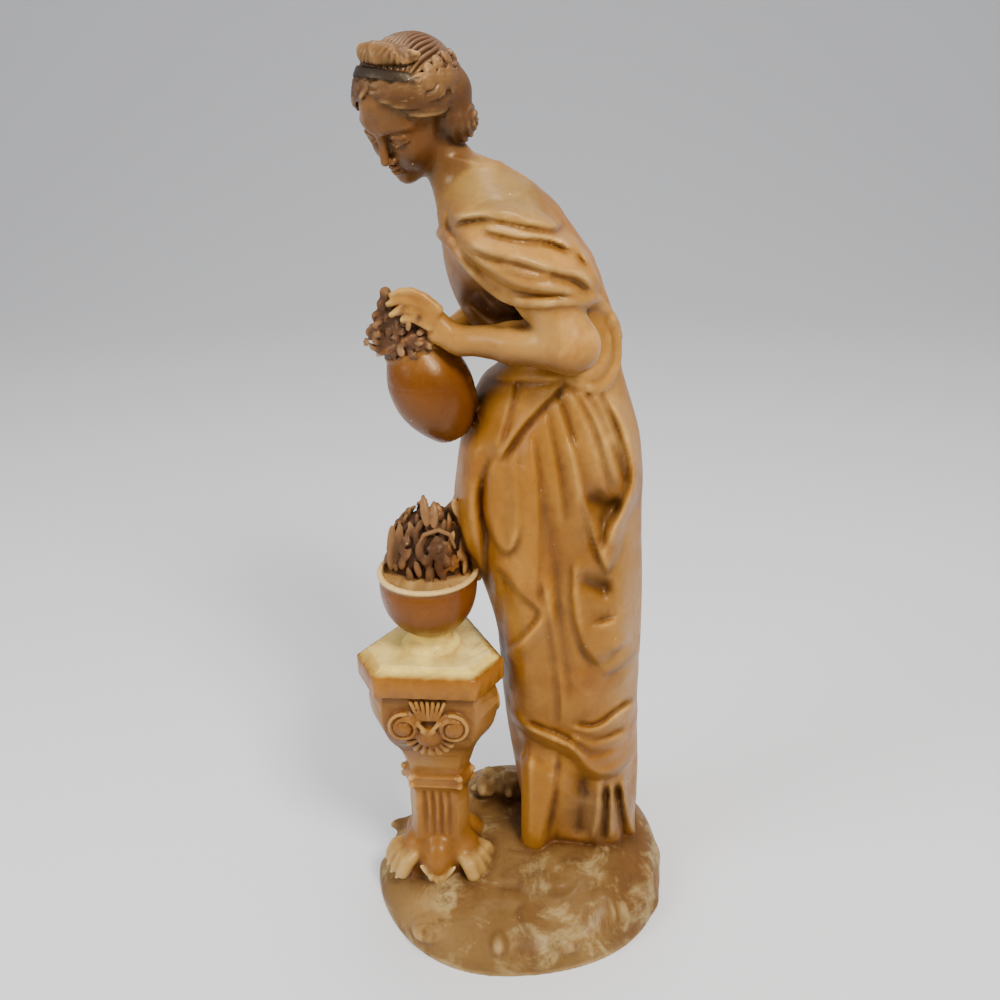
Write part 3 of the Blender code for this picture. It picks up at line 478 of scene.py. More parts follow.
def head(clay):
    add, cut = clay.add, clay.cut
    skin = dict(soft=4.0, tag=SKIN)
    add(head_egg((-3, 0, 7), (23.2, 18.0, 19.8)), 0, SKIN)
    add(head_egg((5.0, 0, -8), (14.0, 14.2, 19.5)), **skin)
    add(head_egg((7.5, 0, -14), (11.0, 11.0, 12.0)), **skin)
    add(head_egg((14.8, 0, -22.2), (4.4, 4.6, 4.4)), **skin)
    for s in (-1, 1):
        add(head_egg((11.6, 7.6 * s, -8.5), (6.4, 5.8, 7.2)), **skin)
        cut(head_egg((22.4, 6.8 * s, 0.2), (5.2, 5.4, 3.4)), 4.5)
        add(head_egg((14.5, 7.0 * s, -0.8), (4.6, 4.9, 3.9)), 0.5, SKIN)
        add(head_bead((19.2, 3.4 * s, 5.4), (14.6, 12 * s, 4.8), 0.9, 0.6), 5, SKIN)
    add(head_chain([(19.0, 0, 3.5), (20.6, 0, -2.5), (23.2, 0, -8.6)], [1.7, 1.7, 2.0]), 2.6, SKIN)
    for s in (-1, 1):
        # lids lowered over the eyes
        add(head_chain([(18.0, 3.6 * s, 0.6), (19.3, 6.6 * s, 2.0), (17.0, 11 * s, 0.9)], 0.65), 1.2, SKIN)
        add(head_chain([(18.4, 3.4 * s, -1.6), (19.7, 6.8 * s, -2.5), (16.6, 11.4 * s, -1.4)], 0.5), 0.4, SKIN)
        cut(head_chain([(18.4, 4.2 * s, -3.2), (19.2, 6.8 * s, -3.9), (16.8, 10.4 * s, -2.8)], 0.32), 0.5)
        add(head_egg((20.6, 2.5 * s, -9.6), (2.1, 1.7, 1.6)), 1.2, SKIN)
        cut(head_egg((21.4, 1.5 * s, -11.6), (1.1, 0.7, 0.8)), 0.5)
        add(head_chain([(20.4, 0.2 * s, -14.3), (20.2, 1.4 * s, -13.9), (17.6, 4.6 * s, -15.2)], [1.1, 1.2, 0.5]),
                0.7, SKIN)
        add(head_chain([(20.0, 0.0, -17.0), (19.4, 1.8 * s, -16.9), (17.4, 4.0 * s, -15.9)], [1.4, 1.3, 0.5]), 0.6,
                SKIN)
        cut(head_chain([(22.2, 0.0, -15.5), (20.6, 2.0 * s, -15.4), (18.6, 4.8 * s, -15.6)], 0.35), 0.5)


def on_hair(turn, lift, k=1.0):
    """Point of the hair's dome: turn from the brow to the left, lift from level, in degrees."""
    a, e = radians(turn), radians(lift)
    return (-4.5 + 24.8 * k * cos(e) * cos(a), 20.6 * k * cos(e) * sin(a), 7 + 21 * k * sin(e))


def lock(clay, path, r, rng, k=1.0, waves=2.4, swing=2.6):
    """Wavy lock of two strands over the dome, through (turn, lift) places."""
    path = smooth_path(path, 8)
    n = len(path)
    t = np.linspace(0, 1, n)
    flow = np.gradient(path, axis=0)
    flow[:, 0] *= np.cos(np.radians(path[:, 1]))
    flow /= np.linalg.norm(flow, axis=1)[:, None] + 1e-6
    phase = rng.uniform(0, tau)
    for j in (-1, 1):
        off = swing * np.sin(tau * waves * t + phase) + j * 2.3 * np.sin(pi * np.clip(t * 1.1, 0.08, 0.95))
        turn = path[:, 0] - off * flow[:, 1] / np.maximum(np.cos(np.radians(path[:, 1])), 0.3)
        lift = path[:, 1] + off * flow[:, 0]
        rise = k + 0.03 * np.sin(tau * waves * t + phase + 1.2)
        pts = [at_head(on_hair(a, e, q)) for a, e, q in zip(turn, lift, rise)]
        clay.add(chain(pts, r * HEAD_SIZE * (0.55 + 0.45 * np.sin(pi * np.clip(t, 0.1, 0.9)))), 0.35, HAIR)


def curl(clay, turn, lift, r, rng, k=1.03):
    """Small snail curl lying on the dome."""
    c = at_head(on_hair(turn, lift, k))
    n = unit(c - at_head(DOME))
    u = unit(np.cross(n, (0.3, 0.1, 1)))
    v = np.cross(n, u)
    t = np.linspace(0, 1, 16)
    a = rng.uniform(0, tau) + rng.choice([-1, 1]) * 9.5 * t
    pts = [c + (u * cos(q) + v * sin(q)) * r * (1 - 0.8 * w) + n * 0.7 * w for q, w in zip(a, t)]
    clay.add(chain(pts, 0.95 - 0.2 * t), 0.25, HAIR)


def hair(clay):
    add, cut = clay.add, clay.cut
    ax = head_axes()
    k = HEAD_SIZE
    rng = np.random.default_rng(7)
    lo, hi, shell = head_egg(DOME, (24.2, 20.0, 20.4))
    line = ([-24, -14, -6, 2, 9, 14.5, 18, 20.5], [-14, -8, -5.5, -1.5, 2.5, 7.5, 13, 18.5])

    def inward(x, y, z):
        return [((x - HEAD_AT[0]) * ax[i, 0] + (y - HEAD_AT[1]) * ax[i, 1] + (z - HEAD_AT[2]) * ax[i, 2]) / k
                for i in range(3)]

    def cap(x, y, z):
        p = inward(x, y, z)
        brow = np.interp(p[2].ravel(), *line).reshape(p[2].shape).astype(np.float32)
        d = np.maximum(shell(x, y, z), (p[0] - brow) * 0.8 * k)
        return np.maximum(d, (-17.0 - p[2]) * k)
    add((lo, hi, cap), 1.0, HAIR)
    # coil on the crown, full back hair and knot at the nape
    for c, size, soft in ((COIL, (12.0, 11.5, 8.8), 2.5), ((-27, 5, 402), (11.6, 13.2, 12.0), 4),
            (KNOT, (8.6, 9.6, 8.6), 3)):
        add(egg(c, size), soft, HAIR)
    # band round the head, from above the brow to the nape
    n = unit((0.665, 0, -0.745))
    lo, hi, rind = head_egg(DOME, (26.8, 22.4, 23.0))

    def band(x, y, z):
        p = inward(x, y, z)
        q = p[0] * n[0] + p[2] * n[2] - (8.6 * n[0] + 24.8 * n[2])
        return np.maximum(np.maximum(rind(x, y, z), np.abs(q) * k - 1.8), (3.0 - p[0]) * k)
    add((lo, hi, band), 0.3, BAND)
    # hair combed back in waves under the band, on both sides
    for s in (-1, 1):
        for j in range(9):
            path = [(3 * s, 50 - 1.3 * j), (30 * s, 46 - 2.3 * j), (60 * s, 36 - 4.2 * j), (90 * s, 24 - 6.2 * j),
                    (120 * s, 10 - 6.6 * j)]
            lock(clay, path, 1.1, rng, k=1.0, waves=3.2, swing=1.8)
        for j in range(9):
            path = [((66 + 8 * j) * s, 40 - 4 * j), ((86 + 8 * j) * s, 22 - 6 * j), ((112 + 7 * j) * s, -4 - 3 * j),
                    ((138 + 4 * j) * s, -20 - 2 * j)]
            lock(clay, path, 1.15, rng, k=1.03, waves=2.0, swing=2.0)
        for turn, lift, r in ((70, 33, 2.8), (64, 19, 2.2), (80, 25, 2.6), (86, 8, 2.3), (97, 17, 2.8),
                (102, -4, 2.4),
                              (112, 10, 2.7), (116, -14, 2.6), (128, 0, 2.8), (132, -20, 2.6), (98, -18, 2.0),
                              (122, 22, 2.6),
                              (90, 34, 2.4), (106, 30, 2.4), (140, 10, 2.6), (144, -8, 2.6)):
            curl(clay, turn * s, lift, r, rng, 1.03)
    # roll of hair that stands over the band, combed up and back
    def roll(q):
        return np.array((2.0 - 5.0 * q * q, 14.0 * q, 28.6 - 3.8 * q * q))
    add(head_chain([roll(q) for q in np.linspace(-1, 1, 13)], [1.4, 2.4, 3.3, 3.9, 4.3, 4.5, 4.6, 4.5, 4.3, 3.9,
            3.3, 2.4, 1.4]), 2.0, HAIR)
    for j, q in enumerate(np.linspace(-0.98, 0.98, 19)):
        c = roll(q)
        r = 4.4 - 2.6 * q * q
        arc = np.radians(np.linspace(-35, 150, 12))
        sway = 1.3 * np.sin(np.linspace(0, 5.5, 12) + 0.9 * j)
        pts = [c + np.array((0.80 * cos(a), 0.15 * q, 0.60 * cos(a))) * r
               + np.array((-0.60 * sin(a), 0, 0.80 * sin(a))) * r + np.array((0, w, 0)) for a, w in zip(arc, sway)]
        add(head_chain(pts, 1.05), 0.25, HAIR)
    # strands over the crown, from the roll to the back of the head
    for j in range(27):
        tilt = -84 + 6.46 * j
        back = np.linspace(48, 168, 26)
        psi = np.radians(tilt + 2.6 * np.sin(0.085 * back + 0.5 * j))
        q = np.radians(back)
        pts = [(-4.5 + 24.6 * cos(a), 20.4 * sin(a) * sin(b), 7 + 20.8 * sin(a) * cos(b)) for a, b in zip(q, psi)]
        add(head_chain(pts, 0.95), 0.3, HAIR)
    # turns of the coil on the crown and of the knot at the nape
    for c, r0, up, rows, rise in ((COIL, 11.9, (0.25, 0.1, 1), 6, 9.0), (KNOT, 8.8, (1, -0.2, -0.1), 4, 8.4)):
        w = unit(up)
        u = unit(np.cross(w, (0.1, 1, 0.2)))
        v = np.cross(w, u)
        t = np.linspace(0, 1, 28 * rows)
        h = np.sin(np.radians(5 + 80 * t))
        q = tau * rows * t
        ring = [np.array(c) + (u * cos(a) + v * sin(a)) * r0 * sqrt(max(0,
                1 - b * b)) + w * (rise * b + 0.4 * sin(5 * a))
                for a, b in zip(q, h)]
        add(chain(ring, 0.95), 0.35, HAIR)


def girl(clay):
    add, cut = clay.add, clay.cut
    g = GIRL_Y * MM
    p0 = PLINTH_HEIGHT * MM
    # z, middle x, middle y, half width x, half width y
    rows = [(p0 - 8, 34, g + 3, 30, 29), (60, 32, g + 2, 33, 33), (103, 28, g + 1, 34.4, 36.5),
            (130, 27, g, 35, 38.5), (152, 26.2, g, 36, 40), (186, 21.5, g, 40, 42.5), (206, 17.2, g, 43.2, 43.5),
            (219, 15.6, g, 44.4, 43.5), (240, 16, g, 43, 42.5), (255, 16.6, g, 41, 40.5), (268, 17, g, 37, 37.5),
            (279, 17.5, g, 33, 34), (286, 20.5, g, 28, 32), (294, 21, g, 26.5, 30), (305, 14.5, g, 31.4, 29),
            (319, 7.9, g, 33, 32),
            (332, 3.5, g, 32.4, 37), (345, -1, g, 29.0, 41), (355, -4.5, g, 25, 38), (362, -7, g, 21, 31),
            (368, -9.5, g, 16, 22), (374, -13, g, 9, 12)]

    def wave(t, z, edge):
        # plain upright folds round the back of the skirt
        back = ramp(np.sin(t), -0.05, 0.45) * ramp(z, 30, 60) * ramp(300 - z, 0, 60)
        return back * (1.7 * np.sin(11 * t + 0.012 * z) + 0.9 * np.sin(19 * t - 0.02 * z))
    add(pillar(rows, 2.15, wave), 0, GIRL)
    cut(egg((27, -28, p0 + 10), (7, 10, 34)), 5)
    add(bead((9, -12, p0 - 2), (9, -12.5, 92), 8.2, 7.5), 5, GIRL)
    # neck
    add(bead((-11, g, 353), (-30, g - 3, 381), 13.5, 9.8), 11, SKIN)
    # shoulders and upper arms, wrapped in the shawl
    tilt = radians(26)
    lie = [(cos(tilt), 0, -sin(tilt)), (0, 1, 0), (sin(tilt), 0, cos(tilt))]
    for s, el in ((-1, (22.5, -34, 308)), (1, (25, 56, 305))):
        sh = (0.0, g + s * 36, 348)
        add(bead((-8, g + s * 16, 355), sh, 13, 12.0), 10, SKIN)
        add(egg((5, g + s * 29, 339.5), (31, 24.5, 15), lie), 7, SHAWL)
        add(bead(sh, el, 12.0, 11.3), 6, SKIN)
    # forearms
    for elbow, middle, wrist, thick, thin in (((22.5, -34, 308), (-1, -28, 308), (-24, -17, 306.5), 11.3, 5.4),
                                              ((25, 56, 305), (4, 46, 304), (-20, 24, 305), 11.0, 5.6)):
        add(bead(elbow, middle, thick, 8.6), 3, SKIN)
        add(bead(middle, wrist, 8.4, thin), 3, SKIN)
    # left hand over the flowers, drawn from wrist to finger tips
    palm = [spot(460, 339, -20), spot(447, 328, -18.5), spot(433, 313, -17)]
    add(chain(palm, [4.9, 4.9, 4.3]), 4.5, SKIN)
    add(chain([palm[0], spot(439, 331, -17), spot(427, 320, -15)], [4.8, 4.6, 3.6]), 2, SKIN)
    for path, r in (([(438, 306), (424, 294), (411, 288), (400, 288), (391, 292)], 1.95),
                    ([(435, 311), (421, 302), (408, 297), (397, 297), (388, 301)], 1.9),
                    ([(432, 317), (420, 311), (408, 306), (398, 307), (391, 312)], 1.85),
                    ([(430, 324), (421, 319), (412, 315), (403, 317)], 1.75)):
        pts = [spot(u, v, -21.0 + 0.4 * i) for i, (u, v) in enumerate(path)]
        add(chain(pts, [r * 1.15, r * 1.08, r * 0.95, r * 0.86, r * 0.7][:len(pts)]), 0.35, SKIN)
        add(bead(pts[-1] + np.array([-0.8, -1.4, 0.7]), pts[-1] + np.array([0.4, -1.7, 1.0]), 0.8), 0.2, SKIN)
    add(chain([spot(444, 333, -18), spot(431, 333, -16), spot(421, 332, -14)], [3.0, 2.4, 1.8]), 0.8, SKIN)
    for path in ([(427, 302), (412, 293), (398, 293), (388, 297)], [(425, 309), (412, 302), (398, 302), (388, 306)],
                 [(426, 318), (414, 311), (404, 312), (394, 315)]):
        cut(chain([spot(u, v, -23.6 + 0.3 * i) for i, (u, v) in enumerate(path)], [0.3, 0.7, 0.75, 0.7]), 0.4)
    # right hand round the far side of the jug
    add(bead((-20, 24, 305), (-31, 16, 299), 5.6, 6.2), 3, SKIN)
    for i in range(4):
        add(bead((-31, 17, 304 - 4.2 * i), (-42, 15.5, 300 - 4.6 * i), 2.7, 2.2), 1.0, SKIN)
    # rolled lower edge of the shawl, and its double loop behind the elbow
    roll = [(443, 231), (459, 248), (474, 266), (489, 281), (506, 293), (524, 298), (541, 299), (559, 297),
            (577, 297), (591, 299), (603, 305), (613, 318), (617, 334)]
    outer = [(611, 316), (616, 335), (616, 358), (609, 376), (597, 386), (583, 383), (571, 376)]
    inner = [(607, 335), (606, 352), (599, 366), (588, 374), (577, 373)]
    for path, sink, r, soft in ((roll, -0.4, 2.6, 1.0), (outer, 0.0, 2.4, 1.2), (inner, 0.2, 1.8, 1.2)):
        add(chain(touch(clay, smooth_path(path, 3), sink), r), soft, SHAWL)
    # right foot, ahead and on the far side, sunk in rough ground
    add(egg((-4, 27, p0 + 3), (20, 10, 8.5)), 3, MOUND)
    rng = np.random.default_rng(2)
    for i in range(26):
        c = np.array([-6, 26, p0 + 3]) + rng.uniform(-1, 1, 3) * (17, 9, 2) + np.array([0, 0, 5.5])
        add(egg(c, rng.uniform((2, 2, 2), (4.5, 4.5, 3.6))), 1.5, MOUND)


def vessels(clay):
    add, cut = clay.add, clay.cut
    cx, cy = STAND_X * MM, STAND_Y * MM
    top, r, h, foot = STAND_HEIGHT * MM, BOWL_RADIUS * MM, BOWL_HEIGHT * MM, BOWL_FOOT_HEIGHT * MM
    add(turned((cx, cy, top - 1), (0, 0, 1),
                    [(0, r * 0.62), (1.8, r * 0.60), (3.2, r * 0.50), (foot, r * 0.44), (foot + 5, r * 0.40)]), 0,
                    SLAB)
    bowl = [(h * k, r * q) for k, q in ((0, 0.34), (0.04, 0.48), (0.11, 0.62), (0.21, 0.75), (0.34, 0.865),
            (0.50, 0.945),
                                        (0.66, 0.985), (0.82, 0.998), (0.96, 1.0), (0.985, 1.03), (1.03, 1.03))]
    add(turned((cx, cy, top + foot - 1), (0, 0, 1), bowl), 0.8, BOWL)
    rim = top + foot + h
    cut(turned((cx, cy, rim - 3.0), (0, 0, 1), [(0, r * 0.91), (6, r * 0.94)]))
    add(turned((cx, cy, rim - 6.0), (0, 0, 1), [(0, r * 0.92), (3.4, r * 0.92)]), 0, FILL)
    # flowers heaped in the bowl and leaning to the skirt
    heap = np.array([cx + 0.5, cy + 6, rim + 1])
    add(egg(heap, (r * 0.80, r * 0.54, 27)), 1.0, BLOOM)
    add(egg((cx + 16, cy + 12, rim + 10), (12, 11.5, 20)), 3, SPRIG)
    rng = np.random.default_rng(11)
    for i in range(100):
        t = 2.4 * i
        h = 1 - (i + 0.5) / 100
        w = sqrt(1 - (h * 0.97)**2)
        n = np.array([w * cos(t) / r, w * sin(t) / (0.8 * r), 0.03 * h])
        p = heap + np.array([r * 0.80 * w * cos(t), r * 0.54 * w * sin(t), 27.5 * h])
        far = p[0] > cx + 10
        if i % 7 == 2:
            rosette(clay, p + unit(n) * 0.6, n, rng.uniform(3.4, 4.4), 7, SPRIG if far else BLOOM)
        else:
            swing = rng.uniform(-1, 1)
            flat = unit(np.array([-n[1], n[0], 1e-6]))
            drop = p + unit(n) * 1.2 + flat * 5.0 * swing + np.array([0, 0, -rng.uniform(3.5, 8)])
            leaf(clay, p + np.array([0, 0, 1.5]), drop, rng.uniform(3.0, 4.6), n, SPRIG if far else BLOOM)
    for i in range(16):
        p = np.array([cx + 13 + 8 * cos(2.2 * i), cy + 2 + 5 * (i % 3) / 2, rim - 2 + 2.2 * i])
        leaf(clay, p + np.array([0, 0, 4]), p + np.array([3.0 - (i % 3) * 2, -1.0, -5]), 4.4, (0.3, -1, 0.2), SPRIG)
    # the flower and leaves at the front
    front = spot(438, 548, cy - 5.5)
    rosette(clay, front, (0.05, -1, 0.35), 5.6, 8, BLOOM)
    add(chain([spot(u, v, cy - 6) for u, v in ((417, 545), (424, 533), (438, 528), (450, 533), (455, 546))],
            [0.6, 1.0, 1.1, 1.0, 0.6]),
             0.5, BLOOM)
    for path in (((430, 553), (427, 566)), ((438, 556), (440, 571)), ((446, 553), (447, 565)),
            ((392, 524), (391, 566)),
                 ((400, 522), (398, 560)), ((408, 528), (409, 563)), ((423, 494), (427, 524)),
                 ((434, 500), (434, 526))):
        p = [spot(u, v, cy - 6 + (4.5 if u < 412 else 0) + (6 if v < 510 else 0)) for u, v in path]
        leaf(clay, p[0], p[1], 4.4, (0, -1, 0.3), BLOOM)
    # jug held at a slant, mouth to the left, heaped with flowers
    low, high = spot(455, 431, -5.0), spot(412, 345, -7.5)
    n = float(np.linalg.norm(high - low))
    r = 0.83 * JUG_RADIUS * MM
    ax = unit(high - low)
    prof = [(0.0, 0.44), (0.02, 0.50), (0.08, 0.62), (0.18, 0.78), (0.32, 0.94), (0.46, 1.02), (0.60, 1.03),
            (0.72, 0.99),
            (0.84, 0.89), (0.93, 0.78), (0.98, 0.72), (1.03, 0.72)]
    add(turned(low, ax, [(t * n, q * r) for t, q in prof]), 0.8, JUG)
    mouth = high - ax * 1.5
    top = mouth + np.array([-1.5, 0, 2.5])
    for c, size in ((top, (12, 11.5, 10)), (spot(416, 336, -12), (9, 8, 7)), (spot(404, 314, -12), (9, 6, 8))):
        add(egg(c, size), 1.0, BLOOM)
    rng = np.random.default_rng(5)
    for i in range(44):
        t = 2.4 * i
        h = 1 - (i + 0.5) / 40
        w = sqrt(max(0.0, 1 - h * h))
        d = np.array([w * cos(t), w * sin(t), h])
        p = top + d * (12, 11.5, 10)
        if i % 4 == 1:
            rosette(clay, p + d * 0.5, d, rng.uniform(2.6, 3.4), 6, BLOOM)
        else:
            side = unit(np.cross(d, rng.uniform(-1, 1, 3)))
            leaf(clay, p, p + side * rng.uniform(3.5, 5.5) + d * 0.8, rng.uniform(2.6, 3.6), d, BLOOM)
    for a, c in ((394, 323), (371, 329), (382, 301), (385, 289), (377, 313), (379, 345)):
        add(bead(top + np.array([-4, -4, 0]), spot(a, c, -13.5), 5, 2.4), 1.5, BLOOM)
    shown = ((394, 324, 3.9), (373, 330, 3.5), (383, 302, 2.7), (386, 289, 2.3), (378, 315, 2.6), (381, 345, 2.7),
            (406, 333, 2.6),
             (398, 342, 2.2), (416, 341, 2.4), (388, 340, 2.0), (427, 346, 2.2), (387, 312, 2.0), (403, 325, 1.8),
             (366, 339, 2.0))
    for (a, c, size), p in zip(shown, touch(clay, [(a, c) for a, c, _ in shown], 0.4)):
        rosette(clay, p, (-0.35 if a > 378 else -0.9, -0.8, 0.35), size, 6, BLOOM)
    spots = [(370 + 9 * i + 3 * (j % 2), 296 + 7.5 * j)
             for j in range(7) for i in range(7) if 2 * i + 1 >= 5 - j and i <= 2 + j]
    for (a, c), p in zip(spots, touch(clay, spots, 0.2)):
        turn = rng.uniform(0, tau)
        leaf(clay, p, p + 3.6 * np.array([cos(turn), -0.25, sin(turn)]), rng.uniform(2.2, 3.2), (-0.3, -0.9, 0.3),
                BLOOM)
    # twisted edge of the mouth, and the welt down the side next to her
    for path, size in (([(378, 352), (388, 348), (398, 341), (411, 335), (425, 338), (433, 343), (448, 350)], 1.0),
                       ([(456, 353), (466, 369), (474, 390), (480, 416)], 1.3)):
        add(chain(touch(clay, smooth_path(path, 3), 0.3), size), 0.7, JUG)


def facing(degrees):
    """Level direction and the one to the left of it."""
    w = radians(degrees)
    return np.array([cos(w), sin(w), 0]), np.array([-sin(w), cos(w), 0])


def stand(clay):
    add, cut = clay.add, clay.cut
    cx, cy, turn = STAND_X * MM, STAND_Y * MM, STAND_TURN
    top, t, a = STAND_HEIGHT * MM, SLAB_THICKNESS * MM, SLAB_REACH * MM
    p0, low = PLINTH_HEIGHT * MM, (PLINTH_HEIGHT - STAND_DROP) * MM
    b = a * 1.26
    steps = [(0.0, top - t + 0.4, top - 4.0), (0.5, top - t, top - 3.7)]
    steps += [(0.7 + 0.55 * k, top - 6, top - 3.5 + 0.30 * k) for k in range(8)] + [(5.2, top - 6, top)]
    for inset, z0, z1 in steps:
        sides = [(turn - 90 + 120 * i, a - inset) for i in range(3)] + [(turn - 30 + 120 * i,
                b - inset) for i in range(3)]
        add(slab((cx, cy), sides, z0, z1), 0, SLAB)
    sc = (top - p0 - t) / 108.5

    def zz(k):
        return p0 + (k - 30) * sc
    rows = [(low - 6, 17.0, 21.0), (zz(30), 14.6, 18.4), (zz(38), 12.4, 16.2), (zz(47), 11.6, 15.2),
            (zz(60), 11.6, 15.2), (zz(72), 12.2, 15.9),
            (zz(75.5), 13.4, 17.6), (zz(80.5), 13.5, 17.7), (zz(82), 12.6, 16.6), (zz(89), 13.4, 17.6),
            (zz(96), 15.0, 19.8),
            (zz(102), 17.4, 23.0), (zz(108), 20.6, 27.2), (zz(115), 22.8, 30.0), (zz(123), 23.8, 31.4),
            (zz(131), 23.6, 31.2), (zz(139), 23.0, 30.0)]
    add(tripod((cx + 0.6, cy), rows, turn), 1.0, STAND)
    axis, rise = np.array([cx + 0.6, cy, 0]), np.array([0, 0, 1.0])
    for i in range(3):
        n, side = facing(turn - 90 + 120 * i)
        mid = axis + n * 24.2
        for s in (-1, 1):
            e = mid + side * 11.8 * s + rise * zz(121)
            add(turned(e - n * 4, n, [(0, 8.0), (4.6, 8.0), (5.6, 7.2)]), 0.8, STAND)
            t = np.linspace(0, 1, 40)
            q = radians(100) - 11.5 * t
            rad = 7.6 - 5.0 * t
            pts = [e + n * (1.5 + 1.2 * w) + (side * s * cos(g) + rise * sin(g)) * h for g, h, w in zip(q, rad, t)]
            add(chain(pts, 1.0), 0.5, STAND)
            add(turned(e - n, n, [(0, 3.4), (3.6, 3.4), (4.6, 2.6), (5.2, 1.2)]), 0.3, STAND)
            add(chain([e - side * 6.8 * s + n * 1.8 + rise * 2.6,
                    mid + side * 1.5 * s + n * 2.2 + rise * zz(119.5)], 1.1), 0.4, STAND)
        # drop between the scrolls, shell under them, tongue over the foot of each face
        for k in range(-3, 4):
            add(chain([mid + side * 2.7 * k + n * 0.4 + rise * zz(135),
                    mid + side * 1.5 * k + n * 0.4 + rise * zz(125)], 0.9), 0.3, STAND)
        add(egg(mid + rise * zz(114.5) - n * 0.6, (4.6, 3.4, 4.4), [side, n, rise]), 0.6, STAND)
        add(chain([mid + n * 2.4 + side * k * 3.4 + rise * (zz(119.5) - 1.3 * (1 - abs(k))) for k in (-1, -0.5, 0,
                0.5, 1)], 0.8),
                 0.4, STAND)
        fan = mid + rise * zz(117) - n * 1.6
        add(egg(fan + n * 1.2 - rise * 2, (6.5, 3.6, 6.0), [side, n, rise]), 1.0, STAND)
        for k in range(-4, 5):
            q = radians(19 * k)
            tip = fan + side * 12.0 * sin(q) - rise * 15.0 * cos(q) - n * 4.6 * cos(q)
            add(chain([fan + (tip - fan) * 0.35 + n * 2.2, fan + (tip - fan) * 0.75 + n * 2.0, tip + n * 1.2],
                    [0.9, 1.4, 2.0]), 0.3, STAND)
        foot = axis + rise * (low + 7) + n * 13.0
        add(egg(foot, (9.4, 9.4, 13)), 4.0, STAND)
        for k in (-2, -1, 0, 1, 2):
            add(egg(foot + n * (8.6 - 0.7 * k * k) + side * 3.2 * k - rise * (7.0 - 1.1 * k * k), (2.0, 2.0, 2.4)),
                    0.8, PAW)
        rim = [foot + n * (8.6 - 1.8 * k * k) + side * 8.6 * k - rise * 7.5 * (1 - k * k) for k in np.linspace(-1,
                1, 15)]
        add(chain(rim, 0.8), 0.5, PAW)
        # flutes, and the beads of the ring
        for k in (-1.5, -0.5, 0.5, 1.5):
            p = axis + n * 12.2 + side * 4.1 * k
            cut(chain([p + rise * zz(70), p - n * 0.6 + rise * zz(60), p + rise * zz(44)], [1.3, 1.5, 1.2]), 0.8)
        for k in (-1, 1):
            p = axis + n * 13.2 + side * 12.2 * k
            for h, high in ((76, 2.0), (80.5, 1.8)):
                add(egg(p + rise * zz(h), (1.8, 1.8, high)), 0.6, STAND)
        for h in (75.4, 80.8):
            add(chain([axis + rise * zz(h) + n * 13.4 + side * k for k in (-12, 12)], 0.8), 0.4, STAND)
        # paw at each corner
        n, side = facing(turn - 30 + 120 * i)
        root = axis + rise * (low + 4.0) + n * 14.5
        add(egg(root + rise * 3.0, (9.0, 9.0, 11.0)), 4, STAND)
        for k in (-1.4, -0.5, 0.5, 1.4):
            end = root + n * (13.0 - abs(k)) + side * 5.6 * k - rise * 1.2
            add(chain([root + n * 2 + side * 3.8 * k + rise * 6.0, root + n * 8.5 + side * 5.0 * k + rise * 3.6,
                    end], [3.4, 4.2, 3.7]),
                     0.6, PAW)
            add(bead(end + n * 1.8 - rise * 0.4, end + n * 3.6 - rise * 2.2, 1.5, 0.9), 0.4, PAW)


def mound(clay):
    a, b, h = PLINTH_WIDTH * MM / 2, PLINTH_DEPTH * MM / 2, PLINTH_HEIGHT * MM

    def fn(x, y, z):
        t = np.arctan2(y, x)
        lobe = 1.0 + 0.010 * np.sin(3 * t + 0.6) + 0.008 * np.sin(5 * t - 1.0)
        lobe = lobe - 0.13 * np.exp(-((np.abs(t - 2.45)) / 0.55)**2) + 0.03 * np.exp(-((t - 0.75) / 0.4)**2)
        rho = ((np.abs(x) / a)**2.15 + (np.abs(y) / b)**2.15)**(1 / 2.15) / lobe
        roll = 0.7 * np.sin(x * 0.11 + 1) * np.sin(y * 0.09) + 0.5 * np.sin(x * 0.17 - y * 0.13)
        top = h + 1.0 + roll - (STAND_DROP * MM + 1) * ramp(-0.55 * x - 0.85 * y, 12, 42)
        d = (rho**3.4 + (np.maximum(z, 0) / top)**2.2 - 1.0) * 20.0
        gx, gy, gz = np.gradient(d, clay.pitch)
        d = d / np.maximum(np.sqrt(gx * gx + gy * gy + gz * gz), 0.5)
        return np.maximum(d, -z)
    clay.add(([-a - 3, -b - 3, 0], [a + 3, b + 3, h + 3], fn), 0, MOUND)
    rng = np.random.default_rng(3)
    for i in range(150):
        t, k = rng.uniform(0, tau), rng.uniform(0.3, 1.0)
        z = h * (1.0 if k < 0.75 else rng.uniform(0.15, 0.8)) - 3.6
        edge = 0.86 if z > h * 0.6 else 0.94
        x, y = a * k * edge * cos(t), b * k * edge * sin(t)
        z -= (STAND_DROP * MM + 1) * float(ramp(-0.55 * x - 0.85 * y, 12, 42)) * (z > h * 0.6)
        clay.add(egg((x, y, z), rng.uniform((4, 4, 3.2), (11, 10, 4.9))), 3, MOUND)


